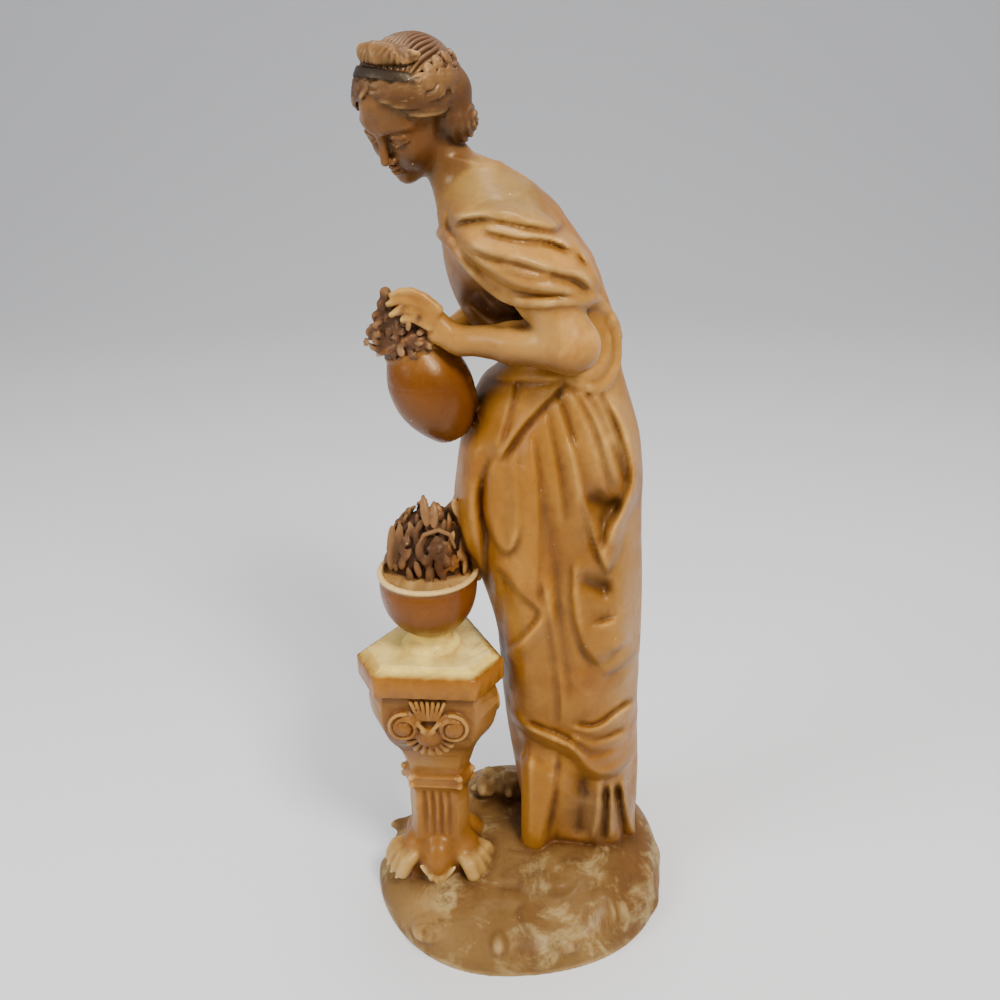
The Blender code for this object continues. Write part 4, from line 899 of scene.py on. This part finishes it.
# Strokes on the shown side: kind, depth in mm, width and path in drawing units
SKIRT_FOLDS = [
    ("drop", -3.2, 3, [(500, 700), (506, 710), (515, 723), (536, 739), (557, 748), (572, 756), (584, 771),
    (595, 777), (609, 777),
                       (622, 769), (634, 755), (639, 732), (642, 700)]),
    ("fold", 2.0, 3.6, [(508, 702), (518, 718), (538, 733), (559, 742), (575, 750), (587, 765), (597, 771),
    (608, 771), (619, 764), (629, 752)]),
    # broad swells of the lap, hip and thigh
    ("fold", 2.6, 9, [(478, 430), (469, 480), (472, 560)]),
    ("fold", -3.6, 6, [(490, 462), (482, 500), (487, 540), (488, 600), (489, 655)]),
    ("fold", 3.4, 14, [(522, 440), (522, 540), (524, 640), (530, 720)]),
    ("fold", -2.6, 9, [(548, 480), (552, 560), (560, 640), (568, 700)]),
    ("fold", 2.6, 9, [(572, 430), (580, 490), (578, 540)]),
    ("fold", -2.4, 7, [(506, 560), (500, 620), (500, 690)]),
    ("fold", 2.6, 10, [(620, 560), (622, 620), (624, 690)]),
    ("fold", -2.0, 8, [(560, 540), (560, 600), (566, 660), (574, 710)]),
    # waist edge and the flap that falls across the lap
    ("lap", 2.0, 3.5, [(565, 375), (540, 378), (516, 378), (482, 375)]),
    ("lap", 2.0, 3, [(516, 376), (512, 395), (503, 428), (496, 450)]),
    ("lap", 3.4, 5, [(566, 374), (556, 388), (537, 408), (518, 430), (497, 462)]),
    # fan of folds from the knot
    ("lap", 2.6, 4, [(554, 386), (566, 424), (577, 462), (585, 498), (588, 520)]),
    ("lap", 3.0, 4, [(566, 378), (579, 402), (592, 430), (602, 466), (611, 500)]),
    ("lap", 2.4, 3.4, [(574, 380), (592, 404), (607, 436), (617, 464), (625, 486)]),
    ("lap", 1.8, 3.4, [(596, 388), (610, 418), (618, 444)]),
    ("lap", 1.8, 3.4, [(543, 402), (552, 440), (560, 486), (564, 530)]),
    ("lap", 1.8, 3, [(530, 428), (537, 470), (539, 520), (538, 600)]),
    ("lap", 1.5, 3, [(514, 448), (518, 490), (519, 540)]),
    # loop of the flap, and the edge of the lap
    ("lap", 2.8, 3, [(516, 522), (516, 538), (511, 549), (503, 550), (494, 538), (485, 512), (486, 476),
    (496, 450)]),
    ("lap", 2.6, 3, [(504, 655), (522, 638), (537, 622), (540, 610), (524, 597), (508, 579), (494, 560)]),
    # strap at the hip, the pocket that it holds and the folds under it
    ("fold", 5.0, 6, [(606, 388), (624, 424), (634, 462), (633, 488), (622, 512), (612, 534), (602, 560)]),
    ("hollow", 6.0, 12, [(598, 502), (610, 506)]),
    ("hollow", 3.6, 8, [(600, 518), (602, 540)]),
    ("lap", 3.0, 3.6, [(607, 572), (598, 550), (590, 524), (583, 498)]),
    ("lap", 2.4, 3.6, [(622, 528), (617, 552), (607, 574)]),
    ("hollow", 5.0, 10, [(586, 580), (602, 586)]),
    ("lap", 3.4, 5, [(600, 668), (584, 646), (576, 620), (573, 590), (574, 556)]),
    ("fold", 4.0, 15, [(604, 618), (610, 636), (620, 650)]),
    ("lap", 2.2, 5, [(640, 648), (622, 664), (602, 676)]),
    ("lap", 2.6, 5, [(560, 736), (560, 690), (554, 640), (546, 600), (538, 570)]),
    ("fold", 1.6, 8, [(580, 668), (584, 700), (590, 716)]),
    # gathers over the hem
    ("lap", 2.6, 3, [(568, 722), (587, 727), (601, 724), (614, 714), (636, 698)]),
    ("lap", 2.4, 3, [(570, 734), (598, 741), (628, 728)]),
    ("lap", 2.0, 3, [(520, 722), (545, 730), (568, 740), (592, 756), (622, 748)]),
    # underskirt: hanging front fold, hollow behind it and the pleats
    ("fold", 1.6, 3.4, [(530, 745), (531, 790), (529, 846)]),
    ("lap", 2.2, 4, [(556, 748), (553, 790), (547, 820), (540, 850)]),
    ("fold", -3.4, 9, [(585, 770), (582, 800), (578, 838)]),
    ("fold", 2.6, 3.8, [(600, 774), (598, 810), (592, 844)]),
    ("fold", 2.6, 3.4, [(611, 778), (612, 812), (612, 845)]),
    ("fold", 2.6, 3.6, [(621, 772), (628, 812), (637, 843)]),
    ("fold", -2.4, 3, [(606, 782), (605, 812), (602, 845)]),
    ("fold", -2.4, 3, [(616, 782), (620, 812), (624, 843)]),
]

SHAWL_FOLDS = [
    ("fold", 1.8, 2.8, [(441, 212), (462, 211), (478, 208), (496, 206), (512, 208), (533, 216), (556, 220)]),
    ("lap", 2.4, 3, [(566, 214), (556, 225), (531, 222), (506, 217), (486, 214), (464, 216), (448, 222)]),
    ("lap", 2.4, 4, [(592, 268), (572, 246), (545, 236), (520, 234), (496, 229), (476, 224)]),
    ("lap", 3.0, 5, [(600, 290), (582, 277), (562, 271), (540, 265), (516, 258), (492, 252), (474, 245),
    (458, 233)]),
    ("lap", 2.8, 4.4, [(584, 291), (562, 290), (536, 288), (512, 282), (488, 268), (470, 254), (456, 240)]),
    ("lap", 1.6, 3.6, [(552, 276), (524, 272), (500, 264)]),
    ("lap", 2.2, 3.6, [(560, 228), (577, 254), (591, 280), (604, 300)]),
    ("lap", 1.8, 3.4, [(572, 228), (586, 252), (600, 278), (610, 300)]),
    ("lap", 1.6, 3, [(446, 206), (445, 222), (456, 240)]),
    ("fold", 1.0, 2.4, [(508, 199), (522, 190), (536, 180)]),
    ("fold", 1.0, 2.4, [(526, 190), (534, 204), (534, 215)]),
    ("fold", 1.0, 2.4, [(546, 182), (557, 199), (562, 212)]),
    ("hollow", 3.0, 14, [(476, 300), (496, 314), (520, 320)]),
    ("lap", 1.4, 2.6, [(478, 286), (490, 300), (505, 312)]),
    ("lap", 1.4, 2.6, [(494, 294), (506, 304), (520, 312)]),
    ("lap", 1.2, 2.6, [(468, 300), (484, 315), (500, 323)]),
]


def eased(clay, spread=0.32):
    """Field with the stair marks of the carving taken off, as much on every grid."""
    f = clay.f
    n = max(1, ceil(spread / (0.5 * clay.pitch**2)))
    w = spread / (2 * n * clay.pitch**2)
    for _ in range(n):
        for ax in range(3):
            f = np.swapaxes(f, 0, ax).copy()
            f[1:-1] = (1 - 2 * w) * f[1:-1] + w * (f[:-2] + f[2:])
            f = np.swapaxes(f, 0, ax)
    return f


def mesh_of(clay):
    """Closed skin of the field, by cutting every cell into six tetrahedra."""
    f = np.array(clay.f, order="C")
    f[np.abs(f) < 1e-4] = 1e-4
    for s in (0, -1):
        f[s], f[:, s], f[:, :, s] = 1.0, 1.0, 1.0
    n = np.array(f.shape)
    inside = f < 0
    corner = [(0, 0, 0), (1, 0, 0), (0, 1, 0), (1, 1, 0), (0, 0, 1), (1, 0, 1), (0, 1, 1), (1, 1, 1)]

    def block(a, c):
        return a[c[0]:n[0] - 1 + c[0], c[1]:n[1] - 1 + c[1], c[2]:n[2] - 1 + c[2]]
    count = sum(block(inside, c).astype(np.uint8) for c in corner)
    cell = np.stack(np.nonzero((count > 0) & (count < 8)), 1).astype(np.int64)
    stride = np.array([n[1] * n[2], n[2], 1])
    ids = [(cell + c) @ stride for c in corner]
    flat, fin = f.ravel(), inside.ravel()
    tris = []
    for tet in ((0, 1, 3, 7), (0, 3, 2, 7), (0, 2, 6, 7), (0, 6, 4, 7), (0, 4, 5, 7), (0, 5, 1, 7)):
        q = np.stack([ids[c] for c in tet], 1)
        code = fin[q] @ np.array([1, 2, 4, 8])
        for c in range(1, 15):
            rows = q[code == c]
            if not len(rows):
                continue
            ins = [k for k in range(4) if c >> k & 1]
            out = [k for k in range(4) if not c >> k & 1]
            if len(ins) == 2:
                e = [(ins[0], out[0]), (ins[0], out[1]), (ins[1], out[1]), (ins[1], out[0])]
                faces = [(0, 1, 2), (0, 2, 3)]
            else:
                one, rest = (ins[0], out) if len(ins) == 1 else (out[0], ins)
                e = [(one, k) for k in rest]
                faces = [(0, 1, 2)]
            for fc in faces:
                tri = np.stack([np.stack([rows[:, e[k][0]], rows[:, e[k][1]]], 1) for k in fc], 1)
                tris.append((tri, np.stack([rows[:, ins[0]], rows[:, out[0]]], 1)))
    tri = np.concatenate([t[0] for t in tris])
    io = np.concatenate([t[1] for t in tris])
    lo, hi = tri.min(2), tri.max(2)
    key = lo * int(n.prod()) + hi
    uniq, inv = np.unique(key.ravel(), return_inverse=True)
    a, b = uniq // int(n.prod()), uniq % int(n.prod())
    pa, pb = (np.stack(np.unravel_index(k, f.shape), 1).astype(np.float64) for k in (a, b))
    w = (flat[a] / (flat[a] - flat[b]))[:, None]
    v = (pa + (pb - pa) * w) * clay.pitch + clay.lo
    t = inv.reshape(-1, 3)
    p = v[t]
    nrm = np.cross(p[:, 1] - p[:, 0], p[:, 2] - p[:, 0])
    way = (np.stack(np.unravel_index(io[:, 1], f.shape), 1) - np.stack(np.unravel_index(io[:, 0], f.shape), 1))
    flip = (nrm * way).sum(1) < 0
    t[flip] = t[flip][:, ::-1]
    return v, t


def make(lo, hi, pitch):
    clay = Clay(lo, hi, pitch)
    girl(clay)
    carve(clay, SKIRT_FOLDS, [GIRL])
    carve(clay, SHAWL_FOLDS, [GIRL, SHAWL, SKIN])
    clay.f = eased(clay)
    mound(clay)
    stand(clay)
    head(clay)
    hair(clay)
    vessels(clay)
    clay.f = np.maximum(clay.f, -(clay.lo[2] + clay.pitch * np.arange(clay.n[2], dtype=np.float32))[None, None, :])
    return clay


def filled(clay, reach):
    """Share of the space within reach that is solid: half on a flat, more in a recess."""
    g = np.clip(0.5 - clay.f / clay.pitch, 0, 1).astype(np.float32)
    k = max(1, int(round(reach / clay.pitch)))
    for _ in range(2):
        for ax in range(3):
            s = np.pad(np.swapaxes(g, 0, ax), ((k + 1, k), (0, 0), (0, 0)), mode="edge")
            s = np.cumsum(s, 0, dtype=np.float32)
            g = np.swapaxes((s[2 * k + 1:] - s[:-2 * k - 1]) / (2 * k + 1), 0, ax)
    return np.ascontiguousarray(g)


# Patina of each region: base colour, colour of its recesses (darker varnish together with painted shade), colour of
# its worn edges, roughness
TONES = {
    GIRL: ((0.325, 0.128, 0.013), (0.130, 0.042, 0.006), (0.60, 0.33, 0.080), 0.42),
    SHAWL: ((0.390, 0.178, 0.033), (0.170, 0.062, 0.010), (0.70, 0.46, 0.16), 0.36),
    SKIN: ((0.405, 0.185, 0.034), (0.110, 0.032, 0.006), (0.62, 0.37, 0.10), 0.32),
    HAIR: ((0.084, 0.033, 0.011), (0.024, 0.008, 0.003), (0.44, 0.24, 0.080), 0.40),
    BAND: ((0.022, 0.014, 0.010), (0.022, 0.014, 0.010), (0.05, 0.03, 0.02), 0.45),
    STAND: ((0.252, 0.096, 0.014), (0.085, 0.024, 0.004), (0.64, 0.36, 0.10), 0.38),
    SLAB: ((0.900, 0.680, 0.160), (0.40, 0.20, 0.05), (0.92, 0.74, 0.34), 0.36),
    PAW: ((0.430, 0.240, 0.060), (0.110, 0.042, 0.010), (0.78, 0.57, 0.24), 0.42),
    BOWL: ((0.172, 0.047, 0.002), (0.110, 0.028, 0.003), (0.80, 0.54, 0.20), 0.32),
    BLOOM: ((0.069, 0.025, 0.010), (0.020, 0.007, 0.004), (0.25, 0.12, 0.045), 0.50),
    FILL: ((0.760, 0.500, 0.180), (0.36, 0.18, 0.05), (0.82, 0.58, 0.24), 0.38),
    SPRIG: ((0.260, 0.105, 0.026), (0.060, 0.018, 0.005), (0.48, 0.27, 0.085), 0.46),
    JUG: ((0.155, 0.045, 0.004), (0.080, 0.020, 0.003), (0.48, 0.23, 0.05), 0.30),
    MOUND: ((0.178, 0.090, 0.024), (0.095, 0.036, 0.008), (0.52, 0.34, 0.13), 0.56),
}


def outside(clay, lo, hi):
    """Distance to a box, negative in it."""
    d = None
    for ax in range(3):
        c = clay.lo[ax] + clay.pitch * np.arange(clay.n[ax], dtype=np.float32)
        e = np.maximum(lo[ax] - c, c - hi[ax]).reshape([-1 if k == ax else 1 for k in range(3)])
        d = e if d is None else np.maximum(d, e)
    return d


def sampled(k):
    """Skin of one region, with the hollowness of its surface at two reaches."""
    lo, hi, pitch, share = REGIONS[k]
    clay = make(np.array(lo) - MARGIN, np.array(hi) + MARGIN, pitch * COARSE)
    fine, wide = filled(clay, FINE_REACH), filled(clay, WIDE_REACH)
    for sign, box in [(1, (lo, hi))] + [(-1, other) for other in REGIONS[:k]]:
        d = sign * outside(clay, box[0], box[1])
        clay.f = np.maximum(clay.f + SINK * ramp(d, -0.2, OVERLAP), d - OVERLAP)
    return clay, fine, wide, mesh_of(clay)


def thinned(v, t, count):
    """Arrays of the mesh with about that many faces, the most where it bends most."""
    me = bpy.data.meshes.new("raw")
    me.from_pydata(v.tolist(), [], t.tolist())
    ob = placed("raw", me)
    thin = ob.modifiers.new("thin", 'DECIMATE')
    thin.ratio = min(1.0, count / len(t))
    got = ob.evaluated_get(bpy.context.evaluated_depsgraph_get()).data
    p = np.empty(len(got.vertices) * 3, np.float32)
    got.vertices.foreach_get("co", p)
    f = np.empty(len(got.polygons) * 3, np.int32)
    got.loops.foreach_get("vertex_index", f)
    bpy.data.objects.remove(ob)
    bpy.data.meshes.remove(me)
    return p.reshape(-1, 3), f.reshape(-1, 3)


def painted(clay, fine, wide, p):
    """Colour, roughness and hollowness of points, by region, recess and worn edge, with darker varnish and painted
    shade in recesses, painted shade on undersides and painted light on tops.
    """
    i = np.clip(np.round((p - clay.lo) / clay.pitch).astype(int), 0, clay.n - 1)
    tag = clay.tag[i[:, 0], i[:, 1], i[:, 2]]
    tag[tag == 0] = MOUND
    tag[(tag == SLAB) & (p[:, 2] < STAND_HEIGHT * MM - SLAB_EDGE)] = STAND
    near, far = sample(clay, fine, p) - 0.5, sample(clay, wide, p) - 0.5
    # recesses darken: darker varnish together with painted shade in folds and hollows
    recess = np.clip(ramp(near, 0.015, 0.15) * 0.8 + ramp(far, 0.03, 0.22) * 0.7, 0, 1)[:, None]
    edge = (ramp(-near, 0.09, 0.24) * 0.9)[:, None]
    table = np.zeros((15, 10), np.float32)
    for k, (base, deep, worn, rough) in TONES.items():
        table[k] = (*base, *deep, *worn, rough)
    rows = table[tag]
    col = rows[:, 0:3] * (1 - recess) + rows[:, 3:6] * recess
    col = col * (1 - edge) + rows[:, 6:9] * edge
    # painted light and shade: surfaces that face up are painted up to 12 % lighter, those that face down up to 38 %
    # darker
    rise = np.array([0, 0, 1.5 * clay.pitch], np.float32)
    face = (sample(clay, clay.f, p + rise) - sample(clay, clay.f, p - rise)) / (3 * clay.pitch)
    col = col * (1.0 + 0.12 * ramp(face, 0.1, 0.9) - 0.38 * ramp(-face, 0.0, 0.8))[:, None]
    return np.column_stack([stains_and_painted_light(p, col, tag), rows[:, 9], recess[:, 0]])


def softened(paint, e):
    """Paint shared a little between neighbours, so that regions don't end in steps."""
    n = len(paint)
    deg = np.bincount(e.ravel(), minlength=n) + 1.0
    out = np.empty_like(paint)
    for ch in range(paint.shape[1]):
        c = paint[:, ch]
        out[:, ch] = (c + np.bincount(e[:, 0], c[e[:, 1]], n) + np.bincount(e[:, 1], c[e[:, 0]], n)) / deg
    return out


def dressed(name):
    """The figure as one mesh, with its varnished colours, painted highlights and painted shade as point colours."""
    make(*WHOLE)
    with ThreadPoolExecutor(4) as pool:
        regions = list(pool.map(sampled, range(len(REGIONS))))
    points, faces, paint, start = [], [], [], 0
    for (clay, fine, wide, (v, t)), region in zip(regions, REGIONS):
        p, f = thinned(v, t, TRIANGLES * region[3])
        points.append(p)
        faces.append(f + start)
        paint.append(painted(clay, fine, wide, p))
        start += len(p)
    p, f, paint = np.concatenate(points), np.concatenate(faces), np.concatenate(paint)
    p[:, 2] *= FULL / p[:, 2].max()
    me = bpy.data.meshes.new(name)
    me.from_pydata((p / MM).tolist(), [], f.tolist())
    e = np.empty(len(me.edges) * 2, np.int32)
    me.edges.foreach_get("vertices", e)
    paint = softened(paint, e.reshape(-1, 2))
    # point colours: varnished colours together with painted highlights and painted shade
    patina_and_painted_light = me.color_attributes.new("patina_and_painted_light", 'FLOAT_COLOR', 'POINT')
    patina_and_painted_light.data.foreach_set("color", np.column_stack([np.clip(paint[:, :3], 0, 1),
            np.ones(len(p))]).astype(np.float32).ravel())
    for label, ch in (("dry", 3), ("recess", 4)):
        a = me.attributes.new(label, 'FLOAT', 'POINT')
        a.data.foreach_set("value", paint[:, ch].astype(np.float32))
    me.polygons.foreach_set("use_smooth", np.ones(len(me.polygons), bool))
    me.set_sharp_from_angle(angle=radians(SHARP))
    return placed(name, me)


# Broad changes of the varnish, and painted highlights and painted shade where marked: middle, reach in mm, colour,
# strength and regions
STAINS_AND_PAINTED_LIGHT = [
    (spot(505, 182, -16), (28, 24, 13), (0.280, 0.172, 0.046), 0.85, (SKIN, GIRL, SHAWL)),
    (spot(462, 160, -8), (9, 14, 14), (0.30, 0.135, 0.040), 0.6, (SKIN,)),
    (spot(400, 150, -25), (32, 40, 26), (0.102, 0.033, 0.009), 0.9, (SKIN,)),
    # painted highlight on the forehead
    (spot(385, 104, -20), (12, 12, 7), (0.34, 0.140, 0.038), 0.7, (SKIN,)),
    (spot(495, 305, -24), (20, 20, 9), (0.055, 0.018, 0.006), 0.95, (GIRL,)),
    (spot(452, 250, -20), (9, 14, 22), (0.24, 0.105, 0.034), 0.7, (GIRL, SHAWL)),
    (spot(600, 812, -16), (22, 20, 18), (0.185, 0.096, 0.034), 0.8, (GIRL,)),
    (spot(545, 690, -28), (28, 14, 28), (0.245, 0.096, 0.010), 0.65, (GIRL,)),
    (spot(590, 560, -28), (16, 14, 34), (0.225, 0.090, 0.011), 0.5, (GIRL,)),
    (spot(520, 600, -30), (14, 14, 40), (0.41, 0.172, 0.022), 0.5, (GIRL,)),
    (spot(620, 440, -20), (16, 16, 40), (0.42, 0.225, 0.060), 0.6, (GIRL,)),
    (spot(628, 650, -20), (10, 20, 60), (0.38, 0.205, 0.060), 0.6, (GIRL,)),
    (spot(425, 42, 4), (16, 16, 7), (0.16, 0.080, 0.042), 0.6, (HAIR,)),
    (spot(420, 72, -14), (16, 12, 5), (0.30, 0.155, 0.050), 0.5, (HAIR,)),
    (spot(375, 50, -10), (8, 12, 5), (0.26, 0.130, 0.040), 0.5, (HAIR,)),
    (spot(425, 350, -20), (10, 10, 6), (0.38, 0.165, 0.034), 0.5, (JUG,)),
    # painted highlight on top of the arm
    (spot(560, 330, -34), (18, 10, 9), (0.58, 0.33, 0.10), 0.5, (SKIN,)),
    # painted shade along the underside of the forearm
    (spot(500, 362, -34), (40, 16, 5), (0.150, 0.050, 0.008), 0.7, (SKIN,)),
    (spot(425, 685, -36), (60, 60, 10), (0.25, 0.088, 0.005), 0.95, (STAND,)),
    (spot(410, 900, -50), (20, 20, 20), (0.46, 0.27, 0.09), 0.5, (MOUND,)),
    (spot(640, 880, -20), (14, 40, 30), (0.170, 0.076, 0.020), 0.7, (MOUND,)),
]


# blends in the broad varnish changes and the painted highlights and painted shade listed above
def stains_and_painted_light(p, col, tag):
    base = np.array([TONES[g][0] if g in TONES else (1, 1, 1) for g in range(15)])[tag].sum(1, keepdims=True)
    for c, reach, tone, k, regions in STAINS_AND_PAINTED_LIGHT:
        w = np.exp(-((((p - c) / np.array(reach))**2).sum(1)))
        w = np.clip(w * 1.5, 0, 1) * k * np.isin(tag, regions)
        light = col.sum(1, keepdims=True) / base
        col = col * (1 - w[:, None]) + np.array(tone) * np.clip(light, 0.3, 1.4) * w[:, None]
    return col


def chalkware():
    """Painted plaster under a darkened varnish: mottled, worn pale in places, with specks and pits."""
    mat = bpy.data.materials.new("chalkware")
    mat.use_nodes = True
    nt = mat.node_tree
    node, link = nt.nodes.new, nt.links.new
    bsdf = nt.nodes["Principled BSDF"]
    bsdf.inputs["Coat Weight"].default_value = 0.05
    bsdf.inputs["Coat Roughness"].default_value = 0.22
    bsdf.inputs["Specular IOR Level"].default_value = 0.38
    bsdf.inputs["Specular Tint"].default_value = (1.0, 0.76, 0.46, 1.0)
    here = node("ShaderNodeTexCoord").outputs["Object"]

    def attribute(name):
        a = node("ShaderNodeAttribute")
        a.attribute_name = name
        return a

    def noise(scale, detail=4.0, rough=0.55, warp=0.0):
        t = node("ShaderNodeTexNoise")
        t.inputs["Scale"].default_value = scale
        t.inputs["Detail"].default_value = detail
        t.inputs["Roughness"].default_value = rough
        t.inputs["Distortion"].default_value = warp
        link(here, t.inputs["Vector"])
        return t.outputs["Fac"]

    def span(value, lo, hi, a=0.0, b=1.0):
        m = node("ShaderNodeMapRange")
        m.interpolation_type = 'SMOOTHSTEP'
        for k, x in zip(("From Min", "From Max", "To Min", "To Max"), (lo, hi, a, b)):
            m.inputs[k].default_value = x
        link(value, m.inputs["Value"])
        return m.outputs["Result"]

    def times(a, b):
        m = node("ShaderNodeMath")
        m.operation = 'MULTIPLY'
        for s, x in zip(m.inputs, (a, b)):
            if isinstance(x, float):
                s.default_value = x
            else:
                link(x, s)
        return m.outputs[0]

    def mix(kind, fac, a, b):
        m = node("ShaderNodeMix")
        m.data_type = 'RGBA'
        m.blend_type = kind
        for s, x in ((m.inputs["Factor"], fac), (m.inputs["A"], a), (m.inputs["B"], b)):
            if isinstance(x, float):
                s.default_value = x
            elif isinstance(x, tuple):
                s.default_value = (*x, 1.0)
            else:
                link(x, s)
        return m.outputs["Result"]
    patina_and_painted_light, recess, dry = attribute("patina_and_painted_light"), attribute("recess"), attribute("dry")
    # the point colours hold painted highlights and painted shade as well as the varnished colours
    col = patina_and_painted_light.outputs["Color"]
    ground, hollow = span(dry.outputs["Fac"], 0.49, 0.54), recess.outputs["Fac"]
    for kind, grain, lo, hi, strength, where, tone in (
            # broad clouds of thicker and thinner varnish
            ('MULTIPLY', (24.0, 5.0, 0.6, 0.4), 0.46, 0.70, 0.65, None, (0.66, 0.48, 0.28)),
            ('MULTIPLY', (38.0, 5.0, 0.62, 0.3), 0.50, 0.72, 0.75, None, (1.45, 1.55, 1.75)),
            # bare and grimy patches of the rough ground
            ('MIX', (42.0, 6.0, 0.66, 0.5), 0.50, 0.66, 0.66, ground, (0.50, 0.36, 0.145)),
            ('MIX', (55.0, 6.0, 0.70, 0.8), 0.50, 0.68, 0.78, ground, (0.115, 0.050, 0.014)),
            # runs of brown in the recesses: darker varnish, adding to the painted shade there
            ('MULTIPLY', (160.0, 4.0, 0.6), 0.35, 0.7, 0.45, hollow, (0.58, 0.42, 0.30)),
            # fine mottling, dark specks and pale pits
            ('MULTIPLY', (330.0, 3.0, 0.6), 0.42, 0.75, 0.22, None, (0.62, 0.50, 0.38)),
            ('MIX', (620.0, 2.0, 0.5), 0.735, 0.775, 0.55, None, (0.10, 0.045, 0.016)),
            ('MIX', (410.0, 2.0, 0.5), 0.765, 0.79, 0.7, None, (0.70, 0.54, 0.30))):
        share = times(times(where, strength) if where else strength, span(noise(*grain), lo, hi))
        col = mix(kind, share, col, tone)
    link(col, bsdf.inputs["Base Color"])
    m = node("ShaderNodeMath")
    m.operation = 'ADD'
    link(dry.outputs["Fac"], m.inputs[0])
    link(span(noise(70.0, 4.0, 0.6), 0.3, 0.75, -0.07, 0.16), m.inputs[1])
    link(m.outputs[0], bsdf.inputs["Roughness"])
    way = bsdf.inputs["Normal"]
    for strength, distance, grain in ((0.35, 0.0004, (260.0, 5.0, 0.62)), (0.30, 0.0012, (75.0, 3.0, 0.5))):
        bump = node("ShaderNodeBump")
        bump.inputs["Strength"].default_value = strength
        bump.inputs["Distance"].default_value = distance
        link(noise(*grain), bump.inputs["Height"])
        link(bump.outputs["Normal"], way)
        way = bump.inputs["Normal"]
    return mat


def area_light(name, at, aim, energy, size, tone=(1, 1, 1)):
    light = bpy.data.lights.new(name, 'AREA')
    light.energy, light.size, light.color = energy, size, tone
    ob = placed(name, light)
    ob.location = at
    ob.rotation_euler = (Vector(aim) - Vector(at)).to_track_quat('-Z', 'Y').to_euler()


def studio():
    """Plain pale floor, soft light from above and the right, and the camera at EYE."""
    scene = bpy.context.scene
    me = bpy.data.meshes.new("floor")
    s, bend, r = 8.0, 1.2, 1.5    # reach of the floor, where it bends up, and how widely
    rise = [(-s, 0.0), (bend, 0.0)]
    rise += [(bend + r * sin(a), r - r * cos(a)) for a in np.linspace(0.08, pi / 2, 20)] + [(2.7, 6.0)]
    me.from_pydata([(x, y, z) for y, z in rise for x in (-s, s)], [],
                   [(2 * i, 2 * i + 1, 2 * i + 3, 2 * i + 2) for i in range(len(rise) - 1)])
    me.polygons.foreach_set("use_smooth", np.ones(len(me.polygons), bool))
    mat = bpy.data.materials.new("pale_floor")
    mat.use_nodes = True
    bsdf = mat.node_tree.nodes["Principled BSDF"]
    bsdf.inputs["Base Color"].default_value = (0.88, 0.88, 0.89, 1.0)
    bsdf.inputs["Roughness"].default_value = 0.75
    me.materials.append(mat)
    placed("floor", me)
    world = bpy.data.worlds.new("studio")
    scene.world = world
    world.use_nodes = True
    sky = world.node_tree.nodes["Background"]
    sky.inputs["Color"].default_value = (0.86, 0.88, 0.92, 1.0)
    sky.inputs["Strength"].default_value = 0.50
    area_light("key", (0.42, -0.75, 1.15), (0, 0, 0.22), 17.0, 0.30, (1.0, 0.96, 0.90))
    area_light("side", (-0.95, -0.45, 0.75), (0, 0, 0.22), 7.0, 0.5, (0.93, 0.96, 1.0))
    area_light("top", (0.05, 0.15, 1.35), (0, 0, 0.2), 8.0, 0.5, (1.0, 0.98, 0.95))
    cam = bpy.data.cameras.new("camera")
    cam.sensor_width = 36.0
    cam.lens = 36.0 * FOCUS / 1000.0
    cam.clip_start = 0.01
    ob = scene.camera = placed("camera", cam)
    cp, sp, c, s = cos(LOOK_DOWN), sin(LOOK_DOWN), cos(LEAN), sin(LEAN)
    ahead, up, right = Vector((0, cp, -sp)), Vector((0, sp, cp)), Vector((1, 0, 0))
    place = Matrix((right * c - up * s, right * s + up * c, -ahead)).transposed().to_4x4()
    place.translation = EYE / MM
    ob.matrix_world = place


studio()
figure = dressed("girl_and_stand")
figure.data.materials.append(chalkware())
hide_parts("figurine")
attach(figure, "root")
